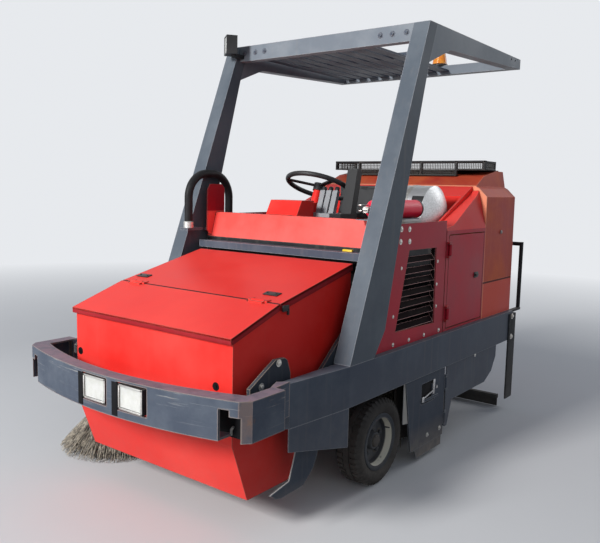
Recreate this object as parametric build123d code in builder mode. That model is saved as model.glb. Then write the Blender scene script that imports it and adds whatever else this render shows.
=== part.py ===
"""Ride-on sweeper-scrubber with a front hopper, drawn piece by piece.

Millimetres. X is across the machine with the driver's left at plus X, Y runs from
the hopper to the rear, and Z is up. The origin is on the floor under the middle of
the front axle.
"""

import os
from math import cos, radians, sin

from build123d import *

os.makedirs("parts", exist_ok=True)

# Half width over the sills, which the widths of all other pieces follow
SILL_HALF = 620

# Wheels
TYRE_R = 200
TYRE_W = 125
TYRE_BEAD_R = 121
RIM_FLANGE_R = TYRE_BEAD_R + 8
WHEEL_OUTER_X = SILL_HALF - 21
WHEEL_DISC_X = WHEEL_OUTER_X - 64
AXLE_R = 20
RUNNING_GAP = 0.3
REAR_WHEEL_Y = 1150
SQUEEGEE_PIVOT_Y = 1425
SQUEEGEE_PIVOT_Z = 330
SQUEEGEE_PIN_R = 12
REAR_TYRE_W = 130

# Chassis sills, one each side, open towards the middle
SILL_TOP = 616
SILL_BOTTOM = 440
SILL_DEPTH = 70
SILL_WALL = 8
SILL_REAR_Y = 1500
FENDER_JOINT_Y = -311
FENDER_FRONT_Y = -668
FENDER_FRONT_HALF = SILL_HALF - 32
FENDER_CHAMFER = 36

# Front bumper
BUMPER_FRONT_Y = -1075
BUMPER_ARC_END_X = SILL_HALF - 2
BUMPER_ARC_END_Y = -980
BUMPER_END_X = SILL_HALF + 28
BUMPER_END_Y = -945
BUMPER_RETURN_Y = -770
BUMPER_TOP = 626
BUMPER_BOTTOM = 478
BUMPER_DEPTH = 58
BUMPER_WALL = 8

# Headlamps
LAMP_W = 135
LAMP_H = 96
LAMP_Z = 562
LAMP_DEPTH = 50
LAMP_CENTRES = (-46, 167)

# Overhead guard
GUARD_HALF = SILL_HALF
GUARD_TOP = 2100
POST_W = 83
POST_FOOT_FRONT_Y = -311
POST_TOP_FRONT_Y = 261
GUARD_REAR_Y = 1390
GUARD_BEAM_W = 60
SLAT_PITCH = 84
SLAT_W = 58
SLAT_COUNT = 9
SLAT_T = 12

# Red bodywork
BODY_HALF = SILL_HALF - 30
BODY_BASE = SILL_TOP
SKIN = 6
PANEL_TOP = 1190
PANEL_REAR_Y = 590
COWL_HALF = BODY_HALF - 85
COWL_BOTTOM = 1057
COWL_SEAM = COWL_BOTTOM + 18
COWL_TOP = 1202
TANK_REAR_Y = 1560
TANK_FRONT_Y = 1090
TANK_TOP = 1462
CROWN_FRONT_Z = 1368
CROWN_KNEE = (1222, 1429)
CROWN_LEVEL_Y = 1414
SCREEN_Y = 1195
TANK_SEAM_Z = 822
SHOULDER_LOW = 1138
SHOULDER_HIGH = 1310
CROWN_HALF = BODY_HALF - 90

# Hopper
HOPPER_HALF = COWL_HALF - 36
HOPPER_WALL = 5
HOPPER_REAR_Y = -95
LID_SPLIT_Y = -597
LID_HALF = HOPPER_HALF + 6

# Hopper lift arms
ARM_PIVOT_Y = 120
ARM_PIVOT_Z = 880
HOPPER_PIVOT_Y = -640
HOPPER_PIVOT_Z = 520
ARM_X = HOPPER_HALF + 45
ARM_T = 16
ARM_PIN_R = 18

# Shelves on the posts: the hose's ends on the right, the extinguisher on the left
HOSE_X = -GUARD_HALF + 115
HOSE_SHELF_FRONT_Z = 1122
HOSE_SHELF_REAR_Z = 1115
EXTINGUISHER_X = GUARD_HALF - 128

# Brooms
MAIN_BROOM_Y = 430
MAIN_BROOM_R = 160
MAIN_BROOM_HALF = SILL_HALF - 120
SIDE_BROOM_X = -SILL_HALF - 95
SIDE_BROOM_Y = -440
SIDE_BROOM_R = 300
SIDE_BROOM_HUB_Z = 190
SIDE_ARM_PIVOT_X = -SILL_HALF + 45
SIDE_ARM_PIVOT_Y = -600
SCRUB_BRUSH_R = 80
SCRUB_BRUSH_HALF = MAIN_BROOM_HALF - 40
SCRUB_BRUSH_YS = (685, 852)
FLOOR_GAP = 2


def block(x_low, x_high, y_low, y_high, z_low, z_high, mode=Mode.ADD):
    """A box between six faces, in the sub-part being built."""
    middle = ((x_low + x_high) / 2, (y_low + y_high) / 2, (z_low + z_high) / 2)
    with Locations(middle):
        Box(x_high - x_low, y_high - y_low, z_high - z_low, mode=mode)


def profile(points, plane, depth, mode=Mode.ADD):
    """A closed outline on a plane, raised by depth."""
    with BuildSketch(plane) as outline:
        with BuildLine():
            Polyline(*points, close=True)
        make_face()
    extrude(outline.sketch, amount=depth, mode=mode)


def side_profile(points, x_low, x_high, mode=Mode.ADD):
    """An outline of (y, z) points between two X values."""
    profile(points, Plane.YZ.offset(x_low), x_high - x_low, mode)


def plan_profile(points, z_low, z_high, mode=Mode.ADD):
    """An outline of (x, y) points between two heights."""
    profile(points, Plane.XY.offset(z_low), z_high - z_low, mode)


def rod(start, axis, radius, length, mode=Mode.ADD):
    """A round bar from start along "x", "y" or "z"."""
    turn = {"x": (0, 90, 0), "y": (-90, 0, 0), "z": (0, 0, 0)}[axis]
    with Locations(Location(start, turn)):
        Cylinder(radius, length, align=(Align.CENTER, Align.CENTER, Align.MIN), mode=mode)


# Chassis

fender_outer = [(SILL_HALF - SILL_DEPTH, FENDER_JOINT_Y),
                (SILL_HALF, FENDER_JOINT_Y),
                (FENDER_FRONT_HALF, FENDER_FRONT_Y),
                (FENDER_FRONT_HALF - FENDER_CHAMFER, FENDER_FRONT_Y - FENDER_CHAMFER),
                (SILL_HALF - SILL_DEPTH, FENDER_FRONT_Y - FENDER_CHAMFER)]
fender_pocket = [(SILL_HALF - SILL_DEPTH - 1, FENDER_JOINT_Y),
                 (SILL_HALF - SILL_WALL, FENDER_JOINT_Y),
                 (FENDER_FRONT_HALF - SILL_WALL, FENDER_FRONT_Y),
                 (SILL_HALF - SILL_DEPTH - 1, FENDER_FRONT_Y - FENDER_CHAMFER / 2)]

with BuildPart() as side_sills:
    block(SILL_HALF - SILL_DEPTH, SILL_HALF, FENDER_JOINT_Y, SILL_REAR_Y, SILL_BOTTOM, SILL_TOP)
    plan_profile(fender_outer, SILL_BOTTOM, SILL_TOP)
    block(SILL_HALF - SILL_DEPTH, SILL_HALF - SILL_WALL, FENDER_JOINT_Y, SILL_REAR_Y,
          SILL_BOTTOM + SILL_WALL, SILL_TOP - SILL_WALL, Mode.SUBTRACT)
    plan_profile(fender_pocket, SILL_BOTTOM + SILL_WALL, SILL_TOP - SILL_WALL, Mode.SUBTRACT)
    mirror(about=Plane.YZ)
    block(SIDE_ARM_PIVOT_X - 30, SIDE_ARM_PIVOT_X + 20, SIDE_ARM_PIVOT_Y - 25, SIDE_ARM_PIVOT_Y + 25,
          SILL_BOTTOM - 9, SILL_BOTTOM)
    rod((SIDE_ARM_PIVOT_X, SIDE_ARM_PIVOT_Y, 380), "z", 12, SILL_BOTTOM - 380)
side_sills.part.label = "side_sills"
export_step(side_sills.part, "parts/side_sills.step")

# Cross tubes between the sills: name, front y, rear y, low z, high z
CROSS_TUBES = (("axle", -35, 35, 470, 560),
               ("broom", 610, 660, 470, 540),
               ("steering", 1080, 1220, 520, 560),
               ("tail", 1440, 1500, 450, 600))
ENGINE_RAIL_X = ((200, 240), (410, 450))
ENGINE_BASE_Z = 560
TUBE_END_X = SILL_HALF - SILL_WALL
KINGPIN_R = 25

with BuildPart() as cross_members:
    for tube_name, y_front, y_rear, z_low, z_high in CROSS_TUBES:
        block(-TUBE_END_X, TUBE_END_X, y_front, y_rear, z_low, z_high)
    for rail_low, rail_high in ENGINE_RAIL_X:
        block(rail_low, rail_high, 620, 1100, 540, ENGINE_BASE_Z)
    rod((0, REAR_WHEEL_Y, 500), "z", KINGPIN_R + RUNNING_GAP, 100, Mode.SUBTRACT)
    for sign in (1, -1):
        side_profile([(SQUEEGEE_PIVOT_Y - 20, 310), (SQUEEGEE_PIVOT_Y + 20, 310), (1480, 450), (1440, 450)],
                     sign * 318 - 6, sign * 318 + 6)
    rod((-400, SQUEEGEE_PIVOT_Y, SQUEEGEE_PIVOT_Z), "x", SQUEEGEE_PIN_R + RUNNING_GAP, 800, Mode.SUBTRACT)
cross_members.part.label = "cross_members"
export_step(cross_members.part, "parts/cross_members.step")

# Front bumper, a curved channel with openings for the lamps and a hooked end
BUMPER_BACK_Y = BUMPER_FRONT_Y + BUMPER_DEPTH
BUMPER_POST_X = BUMPER_END_X - 26
SLOT_X = BUMPER_POST_X - 80
SLOT_STEP_X = BUMPER_POST_X - 40
SLOT_STEP_Z = 568
SLOT_HIGH = 592
SLOT_BACK_Y = BUMPER_END_Y + 37
LAMP_OPENING_W = LAMP_W + 20
LAMP_OPENING_H = LAMP_H + 12


def bumper_outline(inset, rear_inset):
    """The bumper seen from above, smaller by inset at its front and by rear_inset at its open side."""
    front = BUMPER_FRONT_Y + inset
    end_y = BUMPER_ARC_END_Y + inset
    arc_x = BUMPER_ARC_END_X - inset
    back_x = BUMPER_END_X - BUMPER_DEPTH - rear_inset
    back_y = BUMPER_BACK_Y + rear_inset
    with BuildLine() as edge:
        ThreePointArc((-arc_x, end_y), (0, front), (arc_x, end_y))
        Polyline((arc_x, end_y), (BUMPER_END_X - inset, BUMPER_END_Y + inset / 2),
                 (BUMPER_END_X - inset, BUMPER_RETURN_Y - inset), (back_x, BUMPER_RETURN_Y - inset),
                 (back_x, BUMPER_END_Y + 35 + rear_inset))
        ThreePointArc((back_x, BUMPER_END_Y + 35 + rear_inset), (0, back_y),
                      (-back_x, BUMPER_END_Y + 35 + rear_inset))
        Polyline((-back_x, BUMPER_END_Y + 35 + rear_inset), (-back_x, BUMPER_RETURN_Y - inset),
                 (-BUMPER_END_X + inset, BUMPER_RETURN_Y - inset),
                 (-BUMPER_END_X + inset, BUMPER_END_Y + inset / 2), (-arc_x, end_y))
    return edge


# The plate that carries the bumper on the front end of the sill
bumper_bracket = [(FENDER_FRONT_HALF, FENDER_FRONT_Y),
                  (FENDER_FRONT_HALF - FENDER_CHAMFER, FENDER_FRONT_Y - FENDER_CHAMFER),
                  (BUMPER_END_X - BUMPER_DEPTH, BUMPER_RETURN_Y - 20),
                  (BUMPER_END_X - BUMPER_DEPTH + 12, BUMPER_RETURN_Y - 20)]

with BuildPart() as front_bumper:
    with BuildSketch(Plane.XY.offset(BUMPER_BOTTOM)):
        add(bumper_outline(0, 0).line)
        make_face()
    extrude(amount=BUMPER_TOP - BUMPER_BOTTOM)
    with BuildSketch(Plane.XY.offset(BUMPER_BOTTOM + BUMPER_WALL)):
        add(bumper_outline(BUMPER_WALL, 1).line)
        make_face()
    extrude(amount=BUMPER_TOP - BUMPER_BOTTOM - 2 * BUMPER_WALL, mode=Mode.SUBTRACT)
    for sign in (1, -1):
        for slot_x, slot_top in ((SLOT_X, SLOT_STEP_Z), (SLOT_X, SLOT_HIGH)):
            slot_end = BUMPER_POST_X if slot_top == SLOT_STEP_Z else SLOT_STEP_X
            block(min(sign * slot_x, sign * slot_end), max(sign * slot_x, sign * slot_end),
                  BUMPER_FRONT_Y - 5, SLOT_BACK_Y, BUMPER_BOTTOM - 1, slot_top, Mode.SUBTRACT)
        with BuildSketch(Plane.XY.offset(BUMPER_BOTTOM + 12)):
            with BuildLine():
                Polyline(*[(sign * x, y) for x, y in bumper_bracket], close=True)
            make_face()
        extrude(amount=BUMPER_TOP - 14 - BUMPER_BOTTOM)
    for lamp_x in LAMP_CENTRES:
        block(lamp_x - LAMP_OPENING_W / 2, lamp_x + LAMP_OPENING_W / 2, BUMPER_FRONT_Y - 5,
              BUMPER_FRONT_Y + BUMPER_WALL + 20, LAMP_Z - LAMP_OPENING_H / 2,
              LAMP_Z + LAMP_OPENING_H / 2, Mode.SUBTRACT)
front_bumper.part.label = "front_bumper"
export_step(front_bumper.part, "parts/front_bumper.step")

# Square headlamps: a tray with a bezel, and a separate glass
LAMP_FACE_Y = BUMPER_FRONT_Y + 2
with BuildPart() as headlamps:
    for lamp_x in LAMP_CENTRES:
        block(lamp_x - LAMP_W / 2, lamp_x + LAMP_W / 2, LAMP_FACE_Y, LAMP_FACE_Y + LAMP_DEPTH,
              LAMP_Z - LAMP_H / 2, LAMP_Z + LAMP_H / 2)
        block(lamp_x - LAMP_W / 2 + 8, lamp_x + LAMP_W / 2 - 8, LAMP_FACE_Y - 1, LAMP_FACE_Y + 22,
              LAMP_Z - LAMP_H / 2 + 8, LAMP_Z + LAMP_H / 2 - 8, Mode.SUBTRACT)
        block(lamp_x - 20, lamp_x + 20, LAMP_FACE_Y + LAMP_DEPTH - 12, LAMP_FACE_Y + LAMP_DEPTH,
              BUMPER_BOTTOM + BUMPER_WALL, LAMP_Z - LAMP_H / 2)
headlamps.part.label = "headlamps"
export_step(headlamps.part, "parts/headlamps.step")

# Front wheels, each on a motor that hangs from the axle tube
CARRIER_X = WHEEL_OUTER_X - TYRE_W - 34
CARRIER_T = 14
MOTOR_R = 72
MOTOR_L = 110
SPINDLE_END_X = WHEEL_OUTER_X - 27

with BuildPart() as wheel_motors:
    side_profile([(-60, CROSS_TUBES[0][3]), (60, CROSS_TUBES[0][3]), (75, 250), (60, 120),
                  (-60, 120), (-75, 250)], CARRIER_X, CARRIER_X + CARRIER_T)
    rod((CARRIER_X - MOTOR_L, 0, TYRE_R), "x", MOTOR_R, MOTOR_L)
    rod((CARRIER_X + CARRIER_T, 0, TYRE_R), "x", AXLE_R, SPINDLE_END_X - CARRIER_X - CARRIER_T)
    mirror(about=Plane.YZ)
wheel_motors.part.label = "wheel_motors"
export_step(wheel_motors.part, "parts/wheel_motors.step")


def tyre_section(x_inner, width):
    """The (x, z) half section of a tyre above its axle, flat across the tread."""
    x_outer = x_inner + width
    shoulder = 16
    return [(x_inner + 14, TYRE_BEAD_R), (x_outer - 14, TYRE_BEAD_R),
            (x_outer - 14, TYRE_BEAD_R + 9), (x_outer - 4, TYRE_BEAD_R + 17), (x_outer, TYRE_R - 32),
            (x_outer - 4, TYRE_R - shoulder), (x_outer - shoulder, TYRE_R),
            (x_inner + shoulder, TYRE_R), (x_inner + 4, TYRE_R - shoulder),
            (x_inner, TYRE_R - 32), (x_inner + 4, TYRE_BEAD_R + 17), (x_inner + 14, TYRE_BEAD_R + 9)]


def wheel_section(x_inner, width, disc_x):
    """The (x, z) half section of a dished steel wheel: hub, disc and barrel."""
    x_outer = x_inner + width
    hub_inner = disc_x - 45
    hub_outer = disc_x + 32
    return [(hub_inner, AXLE_R + RUNNING_GAP), (hub_outer, AXLE_R + RUNNING_GAP),
            (hub_outer, 38), (disc_x + 8, 46), (disc_x + 8, TYRE_BEAD_R - 30), (disc_x + 3, TYRE_BEAD_R - 14),
            (x_outer - 8, TYRE_BEAD_R - 11), (x_outer - 8, RIM_FLANGE_R), (x_outer - 13, RIM_FLANGE_R),
            (x_outer - 14, TYRE_BEAD_R), (x_inner + 14, TYRE_BEAD_R), (x_inner + 13, RIM_FLANGE_R),
            (x_inner + 8, RIM_FLANGE_R), (x_inner + 8, TYRE_BEAD_R - 11), (disc_x - 6, TYRE_BEAD_R - 14),
            (disc_x, TYRE_BEAD_R - 30), (disc_x, 46), (hub_inner, 38)]


def turned(points, axle_y):
    """A half section turned about an axle along X at tyre height."""
    with BuildSketch(Plane.XZ.offset(-axle_y)) as section:
        with Locations((0, TYRE_R)):
            with BuildLine():
                Polyline(*points, close=True)
            make_face()
    revolve(section.sketch, Axis((0, axle_y, TYRE_R), (1, 0, 0)), 360)


for side, sign in (("left", 1), ("right", -1)):
    with BuildPart() as front_tyre:
        turned([(x, z + TYRE_R) for x, z in tyre_section(WHEEL_OUTER_X - TYRE_W, TYRE_W)], 0)
        if sign < 0:
            mirror(about=Plane.YZ, mode=Mode.REPLACE)
    front_tyre.part.label = f"front_tyre_{side}"
    export_step(front_tyre.part, f"parts/front_tyre_{side}.step")

    with BuildPart() as front_wheel:
        turned([(x, z + TYRE_R) for x, z in wheel_section(WHEEL_OUTER_X - TYRE_W, TYRE_W, WHEEL_DISC_X)], 0)
        if sign < 0:
            mirror(about=Plane.YZ, mode=Mode.REPLACE)
    front_wheel.part.label = f"front_wheel_{side}"
    export_step(front_wheel.part, f"parts/front_wheel_{side}.step")

# Rear wheel in its steering fork
FORK_HALF = 92
FORK_T = 14
FORK_TOP = 2 * TYRE_R + 40
FORK_EAR_LOW = TYRE_R - 45
FORK_EAR_CORNER = TYRE_R - 20
FORK_HEAD_TOP = 519.5

with BuildPart() as steering_fork:
    for sign in (1, -1):
        side_profile([(REAR_WHEEL_Y - 45, FORK_TOP), (REAR_WHEEL_Y + 45, FORK_TOP),
                      (REAR_WHEEL_Y + 45, FORK_EAR_CORNER), (REAR_WHEEL_Y + 20, FORK_EAR_LOW),
                      (REAR_WHEEL_Y - 20, FORK_EAR_LOW), (REAR_WHEEL_Y - 45, FORK_EAR_CORNER)],
                     sign * FORK_HALF - FORK_T / 2, sign * FORK_HALF + FORK_T / 2)
    block(-FORK_HALF - FORK_T / 2, FORK_HALF + FORK_T / 2, REAR_WHEEL_Y - 45, REAR_WHEEL_Y + 45,
          FORK_TOP - 14, FORK_TOP)
    rod((0, REAR_WHEEL_Y, FORK_TOP), "z", 70, FORK_HEAD_TOP - FORK_TOP)
    rod((0, REAR_WHEEL_Y, FORK_HEAD_TOP), "z", KINGPIN_R, 60)
    rod((-FORK_HALF, REAR_WHEEL_Y, TYRE_R), "x", AXLE_R, 2 * FORK_HALF)
steering_fork.part.label = "steering_fork"
export_step(steering_fork.part, "parts/steering_fork.step")

with BuildPart() as rear_tyre:
    turned([(x, z + TYRE_R) for x, z in tyre_section(-REAR_TYRE_W / 2, REAR_TYRE_W)], REAR_WHEEL_Y)
rear_tyre.part.label = "rear_tyre"
export_step(rear_tyre.part, "parts/rear_tyre.step")

with BuildPart() as rear_wheel:
    turned([(x, z + TYRE_R) for x, z in wheel_section(-REAR_TYRE_W / 2, REAR_TYRE_W, 2)], REAR_WHEEL_Y)
rear_wheel.part.label = "rear_wheel"
export_step(rear_wheel.part, "parts/rear_wheel.step")

# Overhead guard
POST_BACK = [(335, GUARD_TOP), (268, 1918), (107, 1340), (-40, 728), (-124, SILL_TOP)]
with BuildPart() as guard_posts:
    side_profile([(POST_FOOT_FRONT_Y, SILL_TOP), (POST_TOP_FRONT_Y, GUARD_TOP)] + POST_BACK,
                 GUARD_HALF - POST_W, GUARD_HALF)
    mirror(about=Plane.YZ)
    block(EXTINGUISHER_X - 42, GUARD_HALF - POST_W, -40, 62, COWL_TOP, COWL_TOP + 4)
    block(EXTINGUISHER_X - 42, EXTINGUISHER_X + 42, 60, 400, COWL_TOP, COWL_TOP + 4)
    block(HOSE_X - 35, HOSE_X + 21, -176, -70, HOSE_SHELF_FRONT_Z - 12, HOSE_SHELF_FRONT_Z)
    block(HOSE_X - 35, HOSE_X - 5, 0, 175, HOSE_SHELF_REAR_Z - 10, HOSE_SHELF_REAR_Z)
    block(HOSE_X - 5, HOSE_X + 21, 66, 175, HOSE_SHELF_REAR_Z - 10, HOSE_SHELF_REAR_Z)
guard_posts.part.label = "guard_posts"
export_step(guard_posts.part, "parts/guard_posts.step")

BEAM_INNER = GUARD_HALF - GUARD_BEAM_W
GUARD_HOLE_R = 7
GUARD_HOLE_YS = (1250, 1310)
GUARD_HOLE_Z = GUARD_TOP - 18
REAR_BEAM_DEPTH = 50
SIDE_BEAM_LOW = GUARD_TOP - 55
GUSSET_LOW = GUARD_TOP - 95
FRONT_BEAM_LOW = GUARD_TOP - 80
FRONT_BEAM_Y = POST_TOP_FRONT_Y + 1
FRONT_BEAM_REAR_Y = FRONT_BEAM_Y + 50
with BuildPart() as guard_frame:
    for sign in (1, -1):
        low = min(sign * BEAM_INNER, sign * GUARD_HALF)
        side_profile([POST_BACK[0], (GUARD_REAR_Y, GUARD_TOP), (GUARD_REAR_Y, SIDE_BEAM_LOW),
                      (480, GUSSET_LOW), POST_BACK[1]], low, low + GUARD_BEAM_W)
    block(-BEAM_INNER, BEAM_INNER, GUARD_REAR_Y - REAR_BEAM_DEPTH, GUARD_REAR_Y, SIDE_BEAM_LOW,
          GUARD_TOP)
    block(-(GUARD_HALF - POST_W), GUARD_HALF - POST_W, FRONT_BEAM_Y, FRONT_BEAM_REAR_Y, FRONT_BEAM_LOW,
          GUARD_TOP)
    for sign in (1, -1):
        for hole_y in GUARD_HOLE_YS:
            rod((sign * GUARD_HALF - (70 if sign > 0 else 0), hole_y, GUARD_HOLE_Z), "x", GUARD_HOLE_R, 70,
                Mode.SUBTRACT)
guard_frame.part.label = "guard_frame"
export_step(guard_frame.part, "parts/guard_frame.step")

SLAT_FIRST_X = -GUARD_HALF + 86
with BuildPart() as guard_slats:
    for slat in range(SLAT_COUNT):
        slat_x = SLAT_FIRST_X + slat * SLAT_PITCH
        block(slat_x, slat_x + SLAT_W, FRONT_BEAM_REAR_Y, GUARD_REAR_Y - REAR_BEAM_DEPTH,
              GUARD_TOP - 40, GUARD_TOP - 40 + SLAT_T)
    block(SLAT_FIRST_X, SLAT_FIRST_X + (SLAT_COUNT - 1) * SLAT_PITCH + SLAT_W, 815, 845,
          GUARD_TOP - 40 + SLAT_T, GUARD_TOP - 6)
guard_slats.part.label = "guard_slats"
export_step(guard_slats.part, "parts/guard_slats.step")

BEACON_X = 120
BEACON_Y = 1365
with BuildPart() as beacon:
    rod((BEACON_X, BEACON_Y, GUARD_TOP), "z", 50, 14)
    with Locations((BEACON_X, BEACON_Y, GUARD_TOP + 14)):
        Cone(45, 34, 78, align=(Align.CENTER, Align.CENTER, Align.MIN))
beacon.part.label = "beacon"
export_step(beacon.part, "parts/beacon.step")

# Square work light, turned towards the broom side
WORK_LIGHT_X = -GUARD_HALF + 92
WORK_LIGHT_Y = 178
WORK_LIGHT_Z = 2092
WORK_LIGHT_W = 96
WORK_LIGHT_D = 58
WORK_LIGHT_TURN = -38
work_light_place = Location((WORK_LIGHT_X, WORK_LIGHT_Y, WORK_LIGHT_Z), (0, 0, WORK_LIGHT_TURN))
with BuildPart() as work_light:
    with Locations(work_light_place):
        Box(WORK_LIGHT_W, WORK_LIGHT_D, WORK_LIGHT_W)
        with Locations((0, -WORK_LIGHT_D / 2, 0)):
            Box(WORK_LIGHT_W - 16, 16, WORK_LIGHT_W - 16, mode=Mode.SUBTRACT)
    block(WORK_LIGHT_X - 4, WORK_LIGHT_X + 22, WORK_LIGHT_Y + 10, FRONT_BEAM_Y, WORK_LIGHT_Z - 60,
          WORK_LIGHT_Z - 40)
work_light.part.label = "work_light"
export_step(work_light.part, "parts/work_light.step")

with BuildPart() as lamp_glass:
    for lamp_x in LAMP_CENTRES:
        block(lamp_x - LAMP_W / 2 + 8, lamp_x + LAMP_W / 2 - 8, LAMP_FACE_Y + 3, LAMP_FACE_Y + 9,
              LAMP_Z - LAMP_H / 2 + 8, LAMP_Z + LAMP_H / 2 - 8)
    with Locations(work_light_place):
        with Locations((0, -WORK_LIGHT_D / 2 + 5, 0)):
            Box(WORK_LIGHT_W - 16, 6, WORK_LIGHT_W - 16)
lamp_glass.part.label = "lamp_glass"
export_step(lamp_glass.part, "parts/lamp_glass.step")

# Red bodywork
LOUVRE = [(103, 691), (209, 1062), (485, 1060), (494, 680)]
BODY_INNER = BODY_HALF - SKIN

with BuildPart() as front_side_panels:
    side_profile([(-60, BODY_BASE), (30, BODY_BASE + 400), (119, PANEL_TOP - 3), (PANEL_REAR_Y, PANEL_TOP),
                  (PANEL_REAR_Y, BODY_BASE)], BODY_INNER, BODY_HALF)
    side_profile(LOUVRE, BODY_INNER - 1, BODY_HALF + 1, Mode.SUBTRACT)
    mirror(about=Plane.YZ)
front_side_panels.part.label = "front_side_panels"
export_step(front_side_panels.part, "parts/front_side_panels.step")

LOUVRE_SLATS = 7
with BuildPart() as louvre_grilles:
    side_profile([(95, 683), (203, 1070), (493, 1068), (502, 672)], BODY_INNER - 24, BODY_INNER - 0.3)
    side_profile(LOUVRE, BODY_INNER - 25, BODY_INNER, Mode.SUBTRACT)
    for slat in range(LOUVRE_SLATS):
        slat_z = 715 + slat * 52
        slat_front = 103 + (slat_z - 691) * 0.286 - 4
        profile([(BODY_INNER - 24, slat_z), (BODY_INNER - 20, slat_z), (BODY_INNER - 2, slat_z - 26),
                 (BODY_INNER - 6, slat_z - 26)], Plane.XZ.offset(-slat_front), -(496 - slat_front))
    mirror(about=Plane.YZ)
louvre_grilles.part.label = "louvre_grilles"
export_step(louvre_grilles.part, "parts/louvre_grilles.step")

# Cowl in front of the driver's feet, and the grey beam that backs the hopper
with BuildPart() as cowl:
    side_profile([(-12, COWL_SEAM), (22, COWL_TOP), (60, COWL_TOP), (60, COWL_TOP - SKIN),
                  (26, COWL_TOP - SKIN), (-6, COWL_SEAM)], -COWL_HALF, COWL_HALF)
    side_profile([(-6, COWL_SEAM), (-44, 1110), (-40, 1320), (-20, 1350), (66, 1350), (86, 1330),
                  (86, 1140), (60, COWL_SEAM + 22)], -COWL_HALF + 22, -COWL_HALF + 28)
cowl.part.label = "cowl"
export_step(cowl.part, "parts/cowl.step")

with BuildPart() as hopper_rest_beam:
    block(-COWL_HALF, COWL_HALF, -72, -12, 1022, COWL_BOTTOM)
hopper_rest_beam.part.label = "hopper_rest_beam"
export_step(hopper_rest_beam.part, "parts/hopper_rest_beam.step")

# Floor, bulkhead and footwell between the side panels
FLOOR_Z = 760
with BuildPart() as floor_deck:
    block(-COWL_HALF, COWL_HALF, 175, 620, FLOOR_Z, FLOOR_Z + 8)
    side_profile([(-12, 1000), (-12, COWL_SEAM), (-4, COWL_SEAM), (-4, 1005), (160, 940),
                  (183, FLOOR_Z + 8), (183, FLOOR_Z), (175, FLOOR_Z), (152, 933)],
                 -COWL_HALF, COWL_HALF)
    block(-COWL_HALF, COWL_HALF, 620, 628, 560, 1042)
    for sign in (1, -1):
        block(sign * (COWL_HALF - 25) - 25, sign * (COWL_HALF - 25) + 25, 560, 620, 540, FLOOR_Z)
floor_deck.part.label = "floor_deck"
export_step(floor_deck.part, "parts/floor_deck.step")

STEER_X = -90
STEER_Y = 420
STEER_Z = 1350
STEER_TILT = 22
STEER_R = 188
steer_plane = Plane(origin=(STEER_X, STEER_Y, STEER_Z), x_dir=(1, 0, 0),
                    z_dir=(0, sin(radians(STEER_TILT)), cos(radians(STEER_TILT))))

with BuildPart() as dash:
    side_profile([(100, 1150), (100, 1200), (140, 1275), (240, 1275), (240, 1150)], -195, 8)
    side_profile([(240, 1160), (400, 1225), (400, 1262), (240, 1262)], STEER_X - 45, STEER_X + 45)
    block(-165, -25, 60, 120, COWL_TOP - SKIN, COWL_TOP)
    with BuildSketch(steer_plane.offset(-110)) as column_section:
        Circle(24)
    extrude(column_section.sketch, amount=80)
dash.part.label = "dash"
export_step(dash.part, "parts/dash.step")

with BuildPart() as steering_wheel:
    with BuildSketch(steer_plane.offset(-29)):
        Circle(30)
    extrude(amount=40)
    with BuildSketch(steer_plane.offset(-4)):
        for spoke_angle in (90, 210, 330):
            with Locations(Location((0, 0, 0), (0, 0, spoke_angle))):
                with Locations((STEER_R / 2, 0)):
                    Rectangle(STEER_R - 14, 24)
    extrude(amount=8)
    with BuildSketch(Plane(origin=steer_plane.origin, x_dir=steer_plane.x_dir,
                           z_dir=steer_plane.y_dir)) as rim_section:
        with Locations((STEER_R - 13, 0)):
            Circle(13)
    revolve(rim_section.sketch, Axis(steer_plane.origin, steer_plane.z_dir), 360)
steering_wheel.part.label = "steering_wheel"
export_step(steering_wheel.part, "parts/steering_wheel.step")

with BuildPart() as lever_bank:
    block(-40, 170, 250, 400, 1120, 1212)
    block(-20, 150, 290, 340, FLOOR_Z + 8, 1120)
    side_profile([(350, 1212), (399, 1212), (446, 1425), (430, 1443), (402, 1440)], 105, 165)
    for lever_x in (-30, 10, 50):
        side_profile([(310, 1212), (340, 1212), (372, 1325), (350, 1330)], lever_x, lever_x + 30)
lever_bank.part.label = "lever_bank"
export_step(lever_bank.part, "parts/lever_bank.step")

SEAT_X = -90
SEAT_HALF = 230
COVER_TOP = 1050
COVER_HALF = BODY_HALF - 30
FUEL_TANK_R = 150
FUEL_TANK_Y = 760
FUEL_TANK_Z = 1215
with BuildPart() as engine_cover:
    block(-COVER_HALF, COVER_HALF, 620, 1000, COVER_TOP - 8, COVER_TOP)
    for saddle_x in (230, 420):
        block(saddle_x, saddle_x + 30, FUEL_TANK_Y - 100, FUEL_TANK_Y + 100, COVER_TOP, COVER_TOP + 60)
    rod((200, FUEL_TANK_Y, FUEL_TANK_Z), "x", FUEL_TANK_R + RUNNING_GAP, 300, Mode.SUBTRACT)
engine_cover.part.label = "engine_cover"
export_step(engine_cover.part, "parts/engine_cover.step")

with BuildPart() as seat_cushion:
    block(SEAT_X - SEAT_HALF, SEAT_X + SEAT_HALF, 560, 890, COVER_TOP + 0.3, 1140)
seat_cushion.part.label = "seat_cushion"
export_step(seat_cushion.part, "parts/seat_cushion.step")

with BuildPart() as seat_back:
    side_profile([(850, 1140.3), (930, 1140.3), (965, 1385), (895, 1385)],
                 SEAT_X - SEAT_HALF + 20, SEAT_X + SEAT_HALF - 20)
seat_back.part.label = "seat_back"
export_step(seat_back.part, "parts/seat_back.step")

# Engine, one plain block behind the grilles, on the sills' cross tubes
with BuildPart() as engine_block:
    block(180, 470, 660, 1040, ENGINE_BASE_Z, 990)
engine_block.part.label = "engine_block"
export_step(engine_block.part, "parts/engine_block.step")

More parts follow.
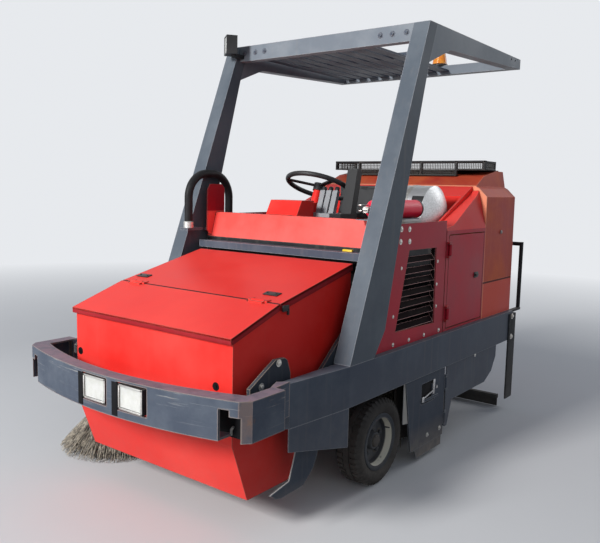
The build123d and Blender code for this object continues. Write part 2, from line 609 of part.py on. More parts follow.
# Rear body, from the seat to the tank: vertical skins, and shoulders that lean inwards above the doors
shoulder = [(598, SHOULDER_LOW), (598, 1150), (680, 1160), (1050, 1318), (1088, 1345), (1088, SHOULDER_LOW)]
DOOR_FRONT_Y = 625
DOOR_REAR_Y = 1075
DOOR_LOW = 628
DOOR_HIGH = 1118
HINGE_PIN_R = 4
HINGE_SLEEVE_R = 8
SIDE_HINGE = (BODY_HALF + 10, DOOR_FRONT_Y)
SIDE_HINGE_SLEEVES = ((680, 740), (1010, 1070))
with BuildPart() as rear_side_panels:
    block(BODY_INNER, BODY_HALF, 598, 1088, BODY_BASE, SHOULDER_LOW)
    side_profile(shoulder, CROWN_HALF + RUNNING_GAP, BODY_HALF)
    profile([(BODY_HALF, SHOULDER_LOW), (BODY_HALF + 1, SHOULDER_LOW), (BODY_HALF + 1, TANK_TOP),
             (BODY_HALF - 79, TANK_TOP)], Plane.XZ.offset(-590), -510, Mode.SUBTRACT)
    block(BODY_INNER - 1, BODY_HALF + 1, DOOR_FRONT_Y, DOOR_REAR_Y, DOOR_LOW, DOOR_HIGH, Mode.SUBTRACT)
    for sleeve_low, sleeve_high in SIDE_HINGE_SLEEVES:
        rod((*SIDE_HINGE, sleeve_low - 12), "z", HINGE_PIN_R, sleeve_high - sleeve_low + 24)
        for lug_z in (sleeve_low - 11, sleeve_high + 1):
            block(BODY_HALF - 3, SIDE_HINGE[0] + 5, DOOR_FRONT_Y - 22, DOOR_FRONT_Y + 5, lug_z, lug_z + 10)
    mirror(about=Plane.YZ)
rear_side_panels.part.label = "rear_side_panels"
export_step(rear_side_panels.part, "parts/rear_side_panels.step")

with BuildPart() as rear_hood:
    side_profile([(975, SHOULDER_LOW), (975, 1314), (TANK_FRONT_Y - 2, CROWN_FRONT_Z - 1),
                  (TANK_FRONT_Y - 2, SHOULDER_LOW)], -CROWN_HALF, CROWN_HALF)
    for sign in (1, -1):
        side_profile([(640, SHOULDER_LOW), (640, 1153), (721, 1192), (915, 1285),
                      (TANK_FRONT_Y - 2, CROWN_FRONT_Z), (TANK_FRONT_Y - 2, SHOULDER_LOW)],
                     sign * (CROWN_HALF - 6) - 6, sign * (CROWN_HALF - 6) + 6)
rear_hood.part.label = "rear_hood"
export_step(rear_hood.part, "parts/rear_hood.step")

DOOR_GAP = 5
for side, sign in (("left", 1), ("right", -1)):
    with BuildPart() as side_door:
        block(BODY_INNER, BODY_HALF, DOOR_FRONT_Y + DOOR_GAP, DOOR_REAR_Y - DOOR_GAP,
              DOOR_LOW + DOOR_GAP, DOOR_HIGH - DOOR_GAP)
        for sleeve_low, sleeve_high in SIDE_HINGE_SLEEVES:
            rod((*SIDE_HINGE, sleeve_low), "z", HINGE_SLEEVE_R, sleeve_high - sleeve_low)
            block(BODY_HALF - 1, SIDE_HINGE[0], DOOR_FRONT_Y + DOOR_GAP, DOOR_FRONT_Y + 30, sleeve_low,
                  sleeve_high)
            rod((*SIDE_HINGE, sleeve_low - 1), "z", HINGE_PIN_R + RUNNING_GAP, sleeve_high - sleeve_low + 2,
                Mode.SUBTRACT)
        if sign < 0:
            mirror(about=Plane.YZ, mode=Mode.REPLACE)
    side_door.part.label = f"side_door_{side}"
    export_step(side_door.part, f"parts/side_door_{side}.step")

TANK_ROUND = 45
tank_half = [(BODY_HALF, BODY_BASE), (BODY_HALF - 4, SHOULDER_HIGH), (CROWN_HALF + 38, SHOULDER_HIGH + 47),
             (CROWN_HALF + 18, SHOULDER_HIGH + 58), (CROWN_HALF, TANK_TOP)]
with BuildPart() as rear_tank:
    profile(tank_half + [(-x, z) for x, z in reversed(tank_half)], Plane.XZ.offset(-TANK_FRONT_Y),
            TANK_FRONT_Y - TANK_REAR_Y)
    rear_face = rear_tank.faces().sort_by(Axis.Y)[-1]
    fillet(rear_face.edges().sort_by(Axis.Z)[1:], TANK_ROUND)
    side_profile([(TANK_FRONT_Y - 1, CROWN_FRONT_Z), CROWN_KNEE, (CROWN_LEVEL_Y, TANK_TOP),
                  (CROWN_LEVEL_Y, TANK_TOP + 10), (TANK_FRONT_Y - 1, TANK_TOP + 10)],
                 -CROWN_HALF - 60, CROWN_HALF + 60, Mode.SUBTRACT)
    block(BODY_HALF - 7, BODY_HALF + 1, TANK_FRONT_Y - 1, TANK_REAR_Y - TANK_ROUND, TANK_SEAM_Z - 4,
          TANK_SEAM_Z + 4, Mode.SUBTRACT)
    block(-BODY_HALF - 1, -BODY_HALF + 7, TANK_FRONT_Y - 1, TANK_REAR_Y - TANK_ROUND, TANK_SEAM_Z - 4,
          TANK_SEAM_Z + 4, Mode.SUBTRACT)
rear_tank.part.label = "rear_tank"
export_step(rear_tank.part, "parts/rear_tank.step")

SCREEN_HALF = CROWN_HALF + 22
SCREEN_STEP_X = 345
with BuildPart() as rear_screen:
    block(-SCREEN_HALF, SCREEN_HALF, SCREEN_Y, SCREEN_Y + 25, TANK_TOP, 1518)
    block(-SCREEN_STEP_X, SCREEN_STEP_X, SCREEN_Y, SCREEN_Y + 25, CROWN_KNEE[1] + 1, TANK_TOP)
    block(-CROWN_HALF, CROWN_HALF, SCREEN_Y + 25, CROWN_LEVEL_Y + 40, TANK_TOP + RUNNING_GAP, TANK_TOP + 5)
rear_screen.part.label = "rear_screen"
export_step(rear_screen.part, "parts/rear_screen.step")

FUEL_TANK_X = (165, CROWN_HALF - 21)
FUEL_TANK_DISH = 48
FUEL_DISH_R = (FUEL_TANK_R ** 2 + FUEL_TANK_DISH ** 2) / (2 * FUEL_TANK_DISH)
FUEL_DISH_MID = FUEL_DISH_R - (FUEL_DISH_R ** 2 - (FUEL_TANK_R / 2) ** 2) ** 0.5
fuel_low, fuel_high = FUEL_TANK_X
fuel_side = FUEL_TANK_Z + FUEL_TANK_R
fuel_mid = FUEL_TANK_Z + FUEL_TANK_R / 2
with BuildPart() as fuel_tank:
    with BuildSketch(Plane.XZ.offset(-FUEL_TANK_Y)) as tank_section:
        with BuildLine():
            Line((fuel_low, FUEL_TANK_Z), (fuel_high, FUEL_TANK_Z))
            ThreePointArc((fuel_high, FUEL_TANK_Z), (fuel_high - FUEL_DISH_MID, fuel_mid),
                          (fuel_high - FUEL_TANK_DISH, fuel_side))
            Line((fuel_high - FUEL_TANK_DISH, fuel_side), (fuel_low + FUEL_TANK_DISH, fuel_side))
            ThreePointArc((fuel_low + FUEL_TANK_DISH, fuel_side), (fuel_low + FUEL_DISH_MID, fuel_mid),
                          (fuel_low, FUEL_TANK_Z))
        make_face()
    revolve(tank_section.sketch, Axis((0, FUEL_TANK_Y, FUEL_TANK_Z), (1, 0, 0)), 360)
fuel_tank.part.label = "fuel_tank"
export_step(fuel_tank.part, "parts/fuel_tank.step")

EXTINGUISHER_R = 43
EXTINGUISHER_Z = COWL_TOP + 4.3 + EXTINGUISHER_R
with BuildPart() as extinguisher:
    rod((EXTINGUISHER_X, 40, EXTINGUISHER_Z), "y", EXTINGUISHER_R, 395)
    rod((EXTINGUISHER_X, -5, EXTINGUISHER_Z), "y", 14, 45)
extinguisher.part.label = "extinguisher"
export_step(extinguisher.part, "parts/extinguisher.step")

# Lower side pieces
with BuildPart() as front_skirt:
    fender_plane = Plane(origin=(FENDER_FRONT_HALF, FENDER_FRONT_Y, 0),
                         x_dir=(SILL_HALF - FENDER_FRONT_HALF, FENDER_JOINT_Y - FENDER_FRONT_Y, 0),
                         z_dir=(FENDER_JOINT_Y - FENDER_FRONT_Y, FENDER_FRONT_HALF - SILL_HALF, 0))
    profile([(0, 348), (358, 272), (358, SILL_BOTTOM), (0, SILL_BOTTOM)], fender_plane, -5)
front_skirt.part.label = "front_skirt"
export_step(front_skirt.part, "parts/front_skirt.step")

with BuildPart() as hopper_side_flap:
    side_profile([(-585, SILL_BOTTOM), (-420, SILL_BOTTOM), (-440, 267), (-467, 217), (-531, 165),
                  (-673, 160), (-703, 168), (-733, 190), (-621, 210), (-585, 314)],
                 SILL_HALF - SILL_DEPTH + 2, SILL_HALF - SILL_DEPTH + 8)
hopper_side_flap.part.label = "hopper_side_flap"
export_step(hopper_side_flap.part, "parts/hopper_side_flap.step")

LOWER_OUTER_X = SILL_HALF - SILL_WALL
BROOM_HINGE = (LOWER_OUTER_X, 612)
BROOM_HINGE_SLEEVES = ((130, 190), (320, 380))
LATCH_Y = (350, 490)
LATCH_Z = (290, 395)
for side, sign in (("left", 1), ("right", -1)):
    with BuildPart() as broom_door:
        side_profile([(190, 435), (262, 75), (602, 75), (602, 435)], LOWER_OUTER_X - 10, LOWER_OUTER_X)
        block(LOWER_OUTER_X - 7, LOWER_OUTER_X + 1, *LATCH_Y, *LATCH_Z, Mode.SUBTRACT)
        block(LOWER_OUTER_X - 7, LOWER_OUTER_X + 3, LATCH_Y[0] + 6, LATCH_Y[1] + 36, LATCH_Z[0] + 10,
              LATCH_Z[0] + 22)
        block(LOWER_OUTER_X - 7, LOWER_OUTER_X + 1, LATCH_Y[1] - 26, LATCH_Y[1] - 8, LATCH_Z[0] + 22,
              LATCH_Z[1] - 20)
        side_profile([(300, 75), (590, 75), (590, 25), (330, 25)], LOWER_OUTER_X - 8, LOWER_OUTER_X - 2)
        for sleeve_low, sleeve_high in BROOM_HINGE_SLEEVES:
            rod((*BROOM_HINGE, sleeve_low), "z", HINGE_SLEEVE_R, sleeve_high - sleeve_low)
            block(LOWER_OUTER_X - 8, LOWER_OUTER_X, 600, 606.5, sleeve_low, sleeve_high)
            rod((*BROOM_HINGE, sleeve_low - 1), "z", HINGE_PIN_R + RUNNING_GAP, sleeve_high - sleeve_low + 2,
                Mode.SUBTRACT)
        if sign < 0:
            mirror(about=Plane.YZ, mode=Mode.REPLACE)
    broom_door.part.label = f"broom_door_{side}"
    export_step(broom_door.part, f"parts/broom_door_{side}.step")

with BuildPart() as rear_lower_panels:
    side_profile([(624, SILL_BOTTOM), (624, 110), (650, 110), (700, 242), (1130, 242), (1230, 290),
                  (1285, 370), (1285, SILL_BOTTOM)], LOWER_OUTER_X - 6, LOWER_OUTER_X)
    for sleeve_low, sleeve_high in BROOM_HINGE_SLEEVES:
        rod((*BROOM_HINGE, sleeve_low - 12), "z", HINGE_PIN_R, sleeve_high - sleeve_low + 24)
        for lug_z in (sleeve_low - 11, sleeve_high + 1):
            block(LOWER_OUTER_X - 6, BROOM_HINGE[0] + 5, BROOM_HINGE[1] - 5, 628, lug_z, lug_z + 10)
    mirror(about=Plane.YZ)
rear_lower_panels.part.label = "rear_lower_panels"
export_step(rear_lower_panels.part, "parts/rear_lower_panels.step")

with BuildPart() as rear_corner_plates:
    plan_profile([(SILL_HALF, 1440), (SILL_HALF + 8, 1440), (SILL_HALF + 8, 1540), (SILL_HALF - 35, 1540),
                  (SILL_HALF - 35, 1532), (SILL_HALF, 1532)], 70, 600)
    mirror(about=Plane.YZ)
rear_corner_plates.part.label = "rear_corner_plates"
export_step(rear_corner_plates.part, "parts/rear_corner_plates.step")

RAIL_X = SILL_HALF - 22
RAIL_Y = TANK_REAR_Y + 90
RAIL_Z = 1018
RAIL_R = 12
with BuildPart() as rear_rail:
    for sign in (1, -1):
        block(sign * RAIL_X - RAIL_R, sign * RAIL_X + RAIL_R, SILL_REAR_Y, RAIL_Y + RAIL_R, 602, SILL_TOP)
        rod((sign * RAIL_X, RAIL_Y, SILL_TOP), "z", RAIL_R, RAIL_Z + RAIL_R - SILL_TOP)
        rod((sign * (BODY_HALF - 75), TANK_REAR_Y, RAIL_Z), "y", RAIL_R, RAIL_Y - TANK_REAR_Y)
    rod((-RAIL_X, RAIL_Y, RAIL_Z), "x", RAIL_R, 2 * RAIL_X)
    block(-SILL_HALF, SILL_HALF, SILL_REAR_Y, 1532, 540, 590)
rear_rail.part.label = "rear_rail"
export_step(rear_rail.part, "parts/rear_rail.step")

# Hopper, a bin open at the top and at the lower rear where the debris comes in
hopper_outline = [(-852, 786), (-852, 395), (-765, 158), (-520, 158), (-330, 300), (-120, 560),
                  (HOPPER_REAR_Y, 620), (HOPPER_REAR_Y, 1004), (LID_SPLIT_Y, 884)]
hopper_hollow = [(-847, 760), (-847, 396), (-761, 163), (-500, 163), (-318, 318), (-125, 562),
                 (HOPPER_REAR_Y - 5, 622), (HOPPER_REAR_Y - 5, 1100), (LID_SPLIT_Y, 1100), (-847, 1100)]
with BuildPart() as hopper:
    side_profile(hopper_outline, -HOPPER_HALF, HOPPER_HALF)
    side_profile(hopper_hollow, -HOPPER_HALF + HOPPER_WALL, HOPPER_HALF - HOPPER_WALL, Mode.SUBTRACT)
    side_profile([(-300, 380), (-160, 540), (-200, 640), (-60, 640), (-60, 540), (-250, 300)],
                 -HOPPER_HALF + 40, HOPPER_HALF - 40, Mode.SUBTRACT)
    for sign in (1, -1):
        rod((sign * (HOPPER_HALF if sign > 0 else ARM_X + ARM_T), HOPPER_PIVOT_Y, HOPPER_PIVOT_Z), "x",
            ARM_PIN_R, ARM_X + ARM_T - HOPPER_HALF)
hopper.part.label = "hopper"
export_step(hopper.part, "parts/hopper.step")

LID_HINGE_Y = LID_SPLIT_Y
LID_HINGE_Z = 894
LID_HINGE_XS = ((-400, -330), (330, 400))
with BuildPart() as hopper_cover:
    side_profile([(LID_SPLIT_Y + 4, 885.5), (HOPPER_REAR_Y + 2, 1005), (HOPPER_REAR_Y + 2, 1013),
                  (LID_SPLIT_Y + 4, 893.5)], -LID_HALF, LID_HALF)
    for hinge_low, hinge_high in LID_HINGE_XS:
        block(hinge_low - 2, hinge_high + 2, LID_SPLIT_Y, LID_SPLIT_Y + 14, 870, 915, Mode.SUBTRACT)
        rod((hinge_low - 14, LID_HINGE_Y, LID_HINGE_Z), "x", HINGE_PIN_R, hinge_high - hinge_low + 28)
        for lug_x in (hinge_low - 14, hinge_high + 2):
            block(lug_x, lug_x + 12, LID_HINGE_Y - 6, LID_HINGE_Y + 24, LID_HINGE_Z - 8, LID_HINGE_Z + 6)
hopper_cover.part.label = "hopper_cover"
export_step(hopper_cover.part, "parts/hopper_cover.step")

with BuildPart() as hopper_lid:
    side_profile([(-869, 792), (LID_SPLIT_Y - 4, 884.5), (LID_SPLIT_Y - 4, 892.5), (-869, 800)],
                 -LID_HALF, LID_HALF)
    for hinge_low, hinge_high in LID_HINGE_XS:
        rod((hinge_low, LID_HINGE_Y, LID_HINGE_Z), "x", HINGE_SLEEVE_R, hinge_high - hinge_low)
        block(hinge_low, hinge_high, LID_HINGE_Y - 20, LID_HINGE_Y - 4, LID_HINGE_Z - 7, LID_HINGE_Z + 1)
        rod((hinge_low - 1, LID_HINGE_Y, LID_HINGE_Z), "x", HINGE_PIN_R + RUNNING_GAP,
            hinge_high - hinge_low + 2, Mode.SUBTRACT)
        for slot_low, slot_high in ((hinge_low - 16, hinge_low), (hinge_high, hinge_high + 16)):
            block(slot_low, slot_high, LID_HINGE_Y - 14, LID_HINGE_Y, LID_HINGE_Z - 20, LID_HINGE_Z + 4,
                  Mode.SUBTRACT)
hopper_lid.part.label = "hopper_lid"
export_step(hopper_lid.part, "parts/hopper_lid.step")

# Lift arms with their cross tube
with BuildPart() as lift_arms:
    arm_outline = [(-700, 500), (-640, 492), (-610, 500), (-350, 545), (-110, 730), (150, 850),
                   (150, 910), (90, 910), (-160, 790), (-390, 600), (-592, 556), (-592, 633), (-612, 686),
                   (-628, 697), (-682, 699), (-826, 616), (-826, 580)]
    for sign in (1, -1):
        low = ARM_X if sign > 0 else -ARM_X - ARM_T
        side_profile(arm_outline, low, low + ARM_T)
    rod((-ARM_X, ARM_PIVOT_Y, ARM_PIVOT_Z), "x", ARM_PIN_R, 2 * ARM_X)
    for sign in (1, -1):
        start = ARM_X + ARM_T if sign > 0 else -ARM_X - ARM_T - 24
        rod((start, ARM_PIVOT_Y, ARM_PIVOT_Z), "x", ARM_PIN_R, 24)
    rod((-ARM_X - 86, HOPPER_PIVOT_Y, HOPPER_PIVOT_Z), "x", ARM_PIN_R + RUNNING_GAP, 2 * ARM_X + 172,
        Mode.SUBTRACT)
lift_arms.part.label = "lift_arms"
export_step(lift_arms.part, "parts/lift_arms.step")

with BuildPart() as arm_bearings:
    block(ARM_X + ARM_T + 6, ARM_X + ARM_T + 30, 85, 155, SILL_TOP, 925)
    rod((ARM_X - 14, ARM_PIVOT_Y, ARM_PIVOT_Z), "x", ARM_PIN_R + RUNNING_GAP, 100, Mode.SUBTRACT)
    mirror(about=Plane.YZ)
arm_bearings.part.label = "arm_bearings"
export_step(arm_bearings.part, "parts/arm_bearings.step")

# Main broom on stub shafts in two side plates
BROOM_AXLE_Z = MAIN_BROOM_R + FLOOR_GAP
with BuildPart() as main_broom:
    rod((-MAIN_BROOM_HALF, MAIN_BROOM_Y, BROOM_AXLE_Z), "x", MAIN_BROOM_R, 2 * MAIN_BROOM_HALF)
    rod((-MAIN_BROOM_HALF - 40, MAIN_BROOM_Y, BROOM_AXLE_Z), "x", 18, 2 * MAIN_BROOM_HALF + 80)
main_broom.part.label = "main_broom"
export_step(main_broom.part, "parts/main_broom.step")

with BuildPart() as broom_plates:
    side_profile([(240, 470), (250, 130), (430, 90), (640, 100), (640, 470)],
                 MAIN_BROOM_HALF + 20, MAIN_BROOM_HALF + 30)
    rod((MAIN_BROOM_HALF, MAIN_BROOM_Y, BROOM_AXLE_Z), "x", 18 + RUNNING_GAP, 60, Mode.SUBTRACT)
    mirror(about=Plane.YZ)
broom_plates.part.label = "broom_plates"
export_step(broom_plates.part, "parts/broom_plates.step")

# Scrub brushes
SCRUB_AXLE_Z = SCRUB_BRUSH_R + FLOOR_GAP
for brush_index, brush_y in enumerate(SCRUB_BRUSH_YS):
    brush_name = ("front", "rear")[brush_index]
    with BuildPart() as scrub_brush:
        rod((-SCRUB_BRUSH_HALF, brush_y, SCRUB_AXLE_Z), "x", SCRUB_BRUSH_R, 2 * SCRUB_BRUSH_HALF)
        rod((-SCRUB_BRUSH_HALF - 30, brush_y, SCRUB_AXLE_Z), "x", 15, 2 * SCRUB_BRUSH_HALF + 60)
    scrub_brush.part.label = f"scrub_brush_{brush_name}"
    export_step(scrub_brush.part, f"parts/scrub_brush_{brush_name}.step")

DECK_HALF = SCRUB_BRUSH_HALF + 30
with BuildPart() as scrub_deck:
    block(-DECK_HALF, DECK_HALF, 600, 935, 185, 195)
    for sign in (1, -1):
        block(sign * (DECK_HALF - 5) - 5, sign * (DECK_HALF - 5) + 5, 600, 935, 60, 185)
        block(sign * 420 - 20, sign * 420 + 20, 700, 740, 195, 470)
    for brush_y in SCRUB_BRUSH_YS:
        rod((-DECK_HALF - 10, brush_y, SCRUB_AXLE_Z), "x", 15 + RUNNING_GAP, 2 * DECK_HALF + 20,
            Mode.SUBTRACT)
    block(-TUBE_END_X, TUBE_END_X, 690, 750, 470, 500)
scrub_deck.part.label = "scrub_deck"
export_step(scrub_deck.part, "parts/scrub_deck.step")

# Squeegee behind the rear wheel, on arms hinged below the tail tube
SQUEEGEE_HALF = SILL_HALF - 60
with BuildPart() as squeegee:
    block(-SQUEEGEE_HALF, SQUEEGEE_HALF, 1470, 1500, 50, 75)
    block(-SQUEEGEE_HALF, SQUEEGEE_HALF, 1482, 1488, 3, 50)
    for sign in (1, -1):
        side_profile([(1410, 345), (1440, 345), (1495, 75), (1475, 75)], sign * 300 - 6, sign * 300 + 6)
    rod((-330, SQUEEGEE_PIVOT_Y, SQUEEGEE_PIVOT_Z), "x", SQUEEGEE_PIN_R, 660)
squeegee.part.label = "squeegee"
export_step(squeegee.part, "parts/squeegee.step")

# Side broom on its swing arm, under the machine's right front corner
with BuildPart() as side_broom_arm:
    rod((SIDE_ARM_PIVOT_X, SIDE_ARM_PIVOT_Y, 320), "z", 22, 110)
    plan_profile([(SIDE_ARM_PIVOT_X - 23, SIDE_ARM_PIVOT_Y - 6),
                  (SIDE_ARM_PIVOT_X + 15, SIDE_ARM_PIVOT_Y + 14),
                  (SIDE_BROOM_X + 25, SIDE_BROOM_Y + 30), (SIDE_BROOM_X - 25, SIDE_BROOM_Y - 10)], 330, 350)
    rod((SIDE_ARM_PIVOT_X, SIDE_ARM_PIVOT_Y, 379), "z", 12 + RUNNING_GAP, 60, Mode.SUBTRACT)
    rod((SIDE_BROOM_X, SIDE_BROOM_Y, 250), "z", 50, 120)
    rod((SIDE_BROOM_X, SIDE_BROOM_Y, 193), "z", 15, 57)
side_broom_arm.part.label = "side_broom_arm"
export_step(side_broom_arm.part, "parts/side_broom_arm.step")

with BuildPart() as side_broom:
    rod((SIDE_BROOM_X, SIDE_BROOM_Y, SIDE_BROOM_HUB_Z), "z", 120, 24)
    with Locations((SIDE_BROOM_X, SIDE_BROOM_Y, 3)):
        Cone(SIDE_BROOM_R, 110, SIDE_BROOM_HUB_Z - 3, align=(Align.CENTER, Align.CENTER, Align.MIN))
    with Locations((SIDE_BROOM_X, SIDE_BROOM_Y, 3)):
        Cone(SIDE_BROOM_R - 45, 70, SIDE_BROOM_HUB_Z - 13, align=(Align.CENTER, Align.CENTER, Align.MIN),
             mode=Mode.SUBTRACT)
    rod((SIDE_BROOM_X, SIDE_BROOM_Y, 150), "z", 15 + RUNNING_GAP, 100, Mode.SUBTRACT)
side_broom.part.label = "side_broom"
export_step(side_broom.part, "parts/side_broom.step")

# Hose that loops up beside the right post and down behind the cowl
HOSE_R = 21
HOSE_POINTS = ((HOSE_X, -150, HOSE_SHELF_FRONT_Z), (HOSE_X, -150, 1402), (HOSE_X, 150, 1402),
               (HOSE_X, 150, HOSE_SHELF_REAR_Z))
HOSE_RADII = 126
with BuildPart() as hose:
    with BuildLine() as hose_route:
        FilletPolyline(*HOSE_POINTS, radius=HOSE_RADII)
    with BuildSketch(Plane(origin=HOSE_POINTS[0], z_dir=hose_route.line % 0)):
        Circle(HOSE_R)
    sweep()
hose.part.label = "hose"
export_step(hose.part, "parts/hose.step")
print("hose bend radius", HOSE_RADII, "route length", round(hose_route.wires()[0].length))
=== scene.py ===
"""Looks of a ride-on sweeper-scrubber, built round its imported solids.

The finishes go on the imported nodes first. Then come the pieces that the solids leave
out: treads, bristles, wire mesh, seat pads, lamps, latches and bolts.
"""

import math
import random

import bmesh
import bpy
from mathutils import Matrix, Vector


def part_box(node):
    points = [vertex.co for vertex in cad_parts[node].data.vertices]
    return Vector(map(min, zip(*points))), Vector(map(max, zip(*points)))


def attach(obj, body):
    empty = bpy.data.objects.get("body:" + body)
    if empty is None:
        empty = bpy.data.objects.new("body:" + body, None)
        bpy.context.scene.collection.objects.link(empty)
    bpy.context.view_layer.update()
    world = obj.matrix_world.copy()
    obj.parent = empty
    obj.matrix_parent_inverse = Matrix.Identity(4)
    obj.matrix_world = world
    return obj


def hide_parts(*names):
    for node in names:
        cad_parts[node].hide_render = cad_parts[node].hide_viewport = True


bl_info = {
    "name": "Sweeper-scrubber looks",
    "version": (1, 0, 0),
    "blender": (4, 5, 0),
    "location": "3D View > Sidebar > Sweeper",
    "description": "Builds the finishes and fine pieces of a ride-on sweeper-scrubber",
    "category": "Object",
}

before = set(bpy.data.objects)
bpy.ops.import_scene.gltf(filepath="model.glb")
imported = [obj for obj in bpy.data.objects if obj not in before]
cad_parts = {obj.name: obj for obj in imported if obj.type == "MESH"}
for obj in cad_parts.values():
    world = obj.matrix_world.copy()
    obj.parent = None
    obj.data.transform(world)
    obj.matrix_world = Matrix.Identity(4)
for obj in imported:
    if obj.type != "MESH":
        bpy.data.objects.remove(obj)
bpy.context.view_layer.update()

DUST = (0.30, 0.26, 0.22)
RUST = (0.16, 0.062, 0.032)
BARE_STEEL = (0.30, 0.30, 0.31)
AXLE_Z = 0.200
REAR_AXLE_Y = 1.150
TANK_FRONT_Y = 1.090
TANK_SEAM_Z = 0.822
SIDES = (1, -1)


# Shader nodes


class Nodes:
    """A node tree, with short calls for the nodes that its makers share."""

    def __init__(self, tree):
        self.tree = tree

    def give(self, socket, value):
        """A value or a link from another socket. A colour gets its alpha."""
        if isinstance(value, bpy.types.NodeSocket):
            self.tree.links.new(value, socket)
        else:
            socket.default_value = (*value, 1.0) if socket.type == "RGBA" else value

    def add(self, kind, inputs=None, **settings):
        """The outputs of a new node with its settings, values and links."""
        made = self.tree.nodes.new(kind)
        for name, value in settings.items():
            setattr(made, name, value)
        for key, value in (inputs or {}).items():
            self.give(made.inputs[key], value)
        return made.outputs

    def place(self):
        return self.add("ShaderNodeTexCoord")["Object"]

    def stretched(self, scale):
        return self.add("ShaderNodeMapping", {"Vector": self.place(), "Scale": scale})[0]

    def split(self, vector):
        return self.add("ShaderNodeSeparateXYZ", {0: vector})

    def facing(self):
        """The parts of the surface's own direction."""
        return self.split(self.add("ShaderNodeNewGeometry")["Normal"])

    def math(self, operation, *values):
        return self.add("ShaderNodeMath", dict(enumerate(values)), operation=operation)[0]

    def times(self, first, second):
        return self.math("MULTIPLY", first, second)

    def vector(self, operation, *values):
        return self.add("ShaderNodeVectorMath", dict(enumerate(values)), operation=operation)

    def ranged(self, value, low, high, to_low=0.0, to_high=1.0):
        return self.add("ShaderNodeMapRange", {"Value": value, "From Min": low, "From Max": high,
                                               "To Min": to_low, "To Max": to_high})[0]

    def noise(self, scale, detail, roughness=0.5, distortion=0.0, vector=None):
        return self.add("ShaderNodeTexNoise", {
            "Vector": self.place() if vector is None else vector, "Scale": scale, "Detail": detail,
            "Roughness": roughness, "Distortion": distortion})["Fac"]

    def ribs(self, direction, scale, distortion=0.0):
        return self.add("ShaderNodeTexWave", {"Vector": self.place(), "Scale": scale, "Distortion": distortion},
                        bands_direction=direction)["Fac"]

    def blend(self, factor, first, second):
        """The first colour turning into the second by a factor."""
        return self.add("ShaderNodeMix", {0: factor, 6: first, 7: second}, data_type="RGBA")[2]

    def layered(self, colour, *layers):
        """A colour under layers, each a factor and its own colour."""
        for factor, tint in layers:
            colour = self.blend(factor, colour, tint)
        return colour

    def group(self, name, **values):
        return self.add("ShaderNodeGroup", values, node_tree=groups[name])


class Look(Nodes):
    """A new material, built up on its own shader."""

    def __init__(self, name, roughness=0.5, metallic=0.0, specular=0.3):
        self.material = bpy.data.materials.new(name)
        self.material.use_nodes = True
        super().__init__(self.material.node_tree)
        self.shader = self.tree.nodes["Principled BSDF"]
        self.put("Roughness", roughness)
        self.put("Metallic", metallic)
        self.put("Specular IOR Level", specular)

    def put(self, name, value):
        self.give(self.shader.inputs[name], value)

    def bumped(self, height, strength, distance=0.001):
        """The finished material, with a height in its surface."""
        self.put("Normal", self.add("ShaderNodeBump", {
            "Height": height, "Strength": strength, "Distance": distance})[0])
        return self.material

    def grained(self, scale, strength, cells=0.0, distance=0.001):
        """The finished material, with a fine grain in its surface."""
        return self.bumped(self.group("grain", Scale=scale, Cells=cells)["Height"], strength, distance)


def start_group(name, takes, gives):
    """An empty shader group with float inputs and outputs: its nodes, and both of these."""
    tree = bpy.data.node_groups.new(name, "ShaderNodeTree")
    for label, value in takes.items():
        socket = tree.interface.new_socket(name=label, in_out="INPUT", socket_type="NodeSocketFloat")
        socket.default_value = value
    for label in gives:
        tree.interface.new_socket(name=label, in_out="OUTPUT", socket_type="NodeSocketFloat")
    return Nodes(tree), tree.nodes.new("NodeGroupInput").outputs, tree.nodes.new("NodeGroupOutput").inputs


def edge_wear_group():
    """Where an edge is rubbed: near a bend of the surface, broken up by grain."""
    nodes, given, out = start_group("edge wear", {"Radius": 0.006, "Grain": 60.0, "Reach": 0.5}, ("Mask",))
    soft = nodes.add("ShaderNodeBevel", {"Radius": given["Radius"]}, samples=6)[0]
    match = nodes.vector("DOT_PRODUCT", soft, nodes.add("ShaderNodeNewGeometry")["Normal"])["Value"]
    broken = nodes.times(nodes.math("SUBTRACT", 1.0, match), nodes.noise(given["Grain"], 6.0))
    nodes.give(out["Mask"], nodes.ranged(broken, 0.02, nodes.times(0.09, given["Reach"])))
    return nodes.tree


def weather_group():
    """Sun fade in broad patches, dust that lies low and on ledges, and thin runs down."""
    nodes, given, out = start_group("weather", {"Patch": 2.2, "Ground": 0.55}, ("Fade", "Dust", "Runs"))
    nodes.give(out["Fade"], nodes.ranged(nodes.noise(given["Patch"], 5.0, 0.62), 0.42, 0.68))
    low = nodes.ranged(nodes.split(nodes.place())["Z"], 0.02, given["Ground"], 1.0, 0.0)
    ledge = nodes.ranged(nodes.facing()["Z"], 0.6, 1.0, 0.0, 0.35)
    nodes.give(out["Dust"], nodes.times(nodes.math("MAXIMUM", low, ledge), nodes.noise(24.0, 8.0, 0.7)))
    streak = nodes.noise(1.0, 4.0, vector=nodes.stretched((38.0, 38.0, 1.6)))
    nodes.give(out["Runs"], nodes.ranged(streak, 0.57, 0.74))
    return nodes.tree


def grain_group():
    """A fine height: orange peel, moulded grain or leather, by its scale."""
    nodes, given, out = start_group("grain", {"Scale": 400.0, "Cells": 0.0}, ("Height",))
    peel = nodes.noise(given["Scale"], 3.0)
    cells = nodes.add("ShaderNodeTexVoronoi", {"Vector": nodes.place(), "Scale": given["Scale"]},
                      feature="DISTANCE_TO_EDGE")["Distance"]
    nodes.give(out["Height"], nodes.add("ShaderNodeMix", {0: given["Cells"], 2: peel, 3: cells},
                                        data_type="FLOAT")[0])
    return nodes.tree


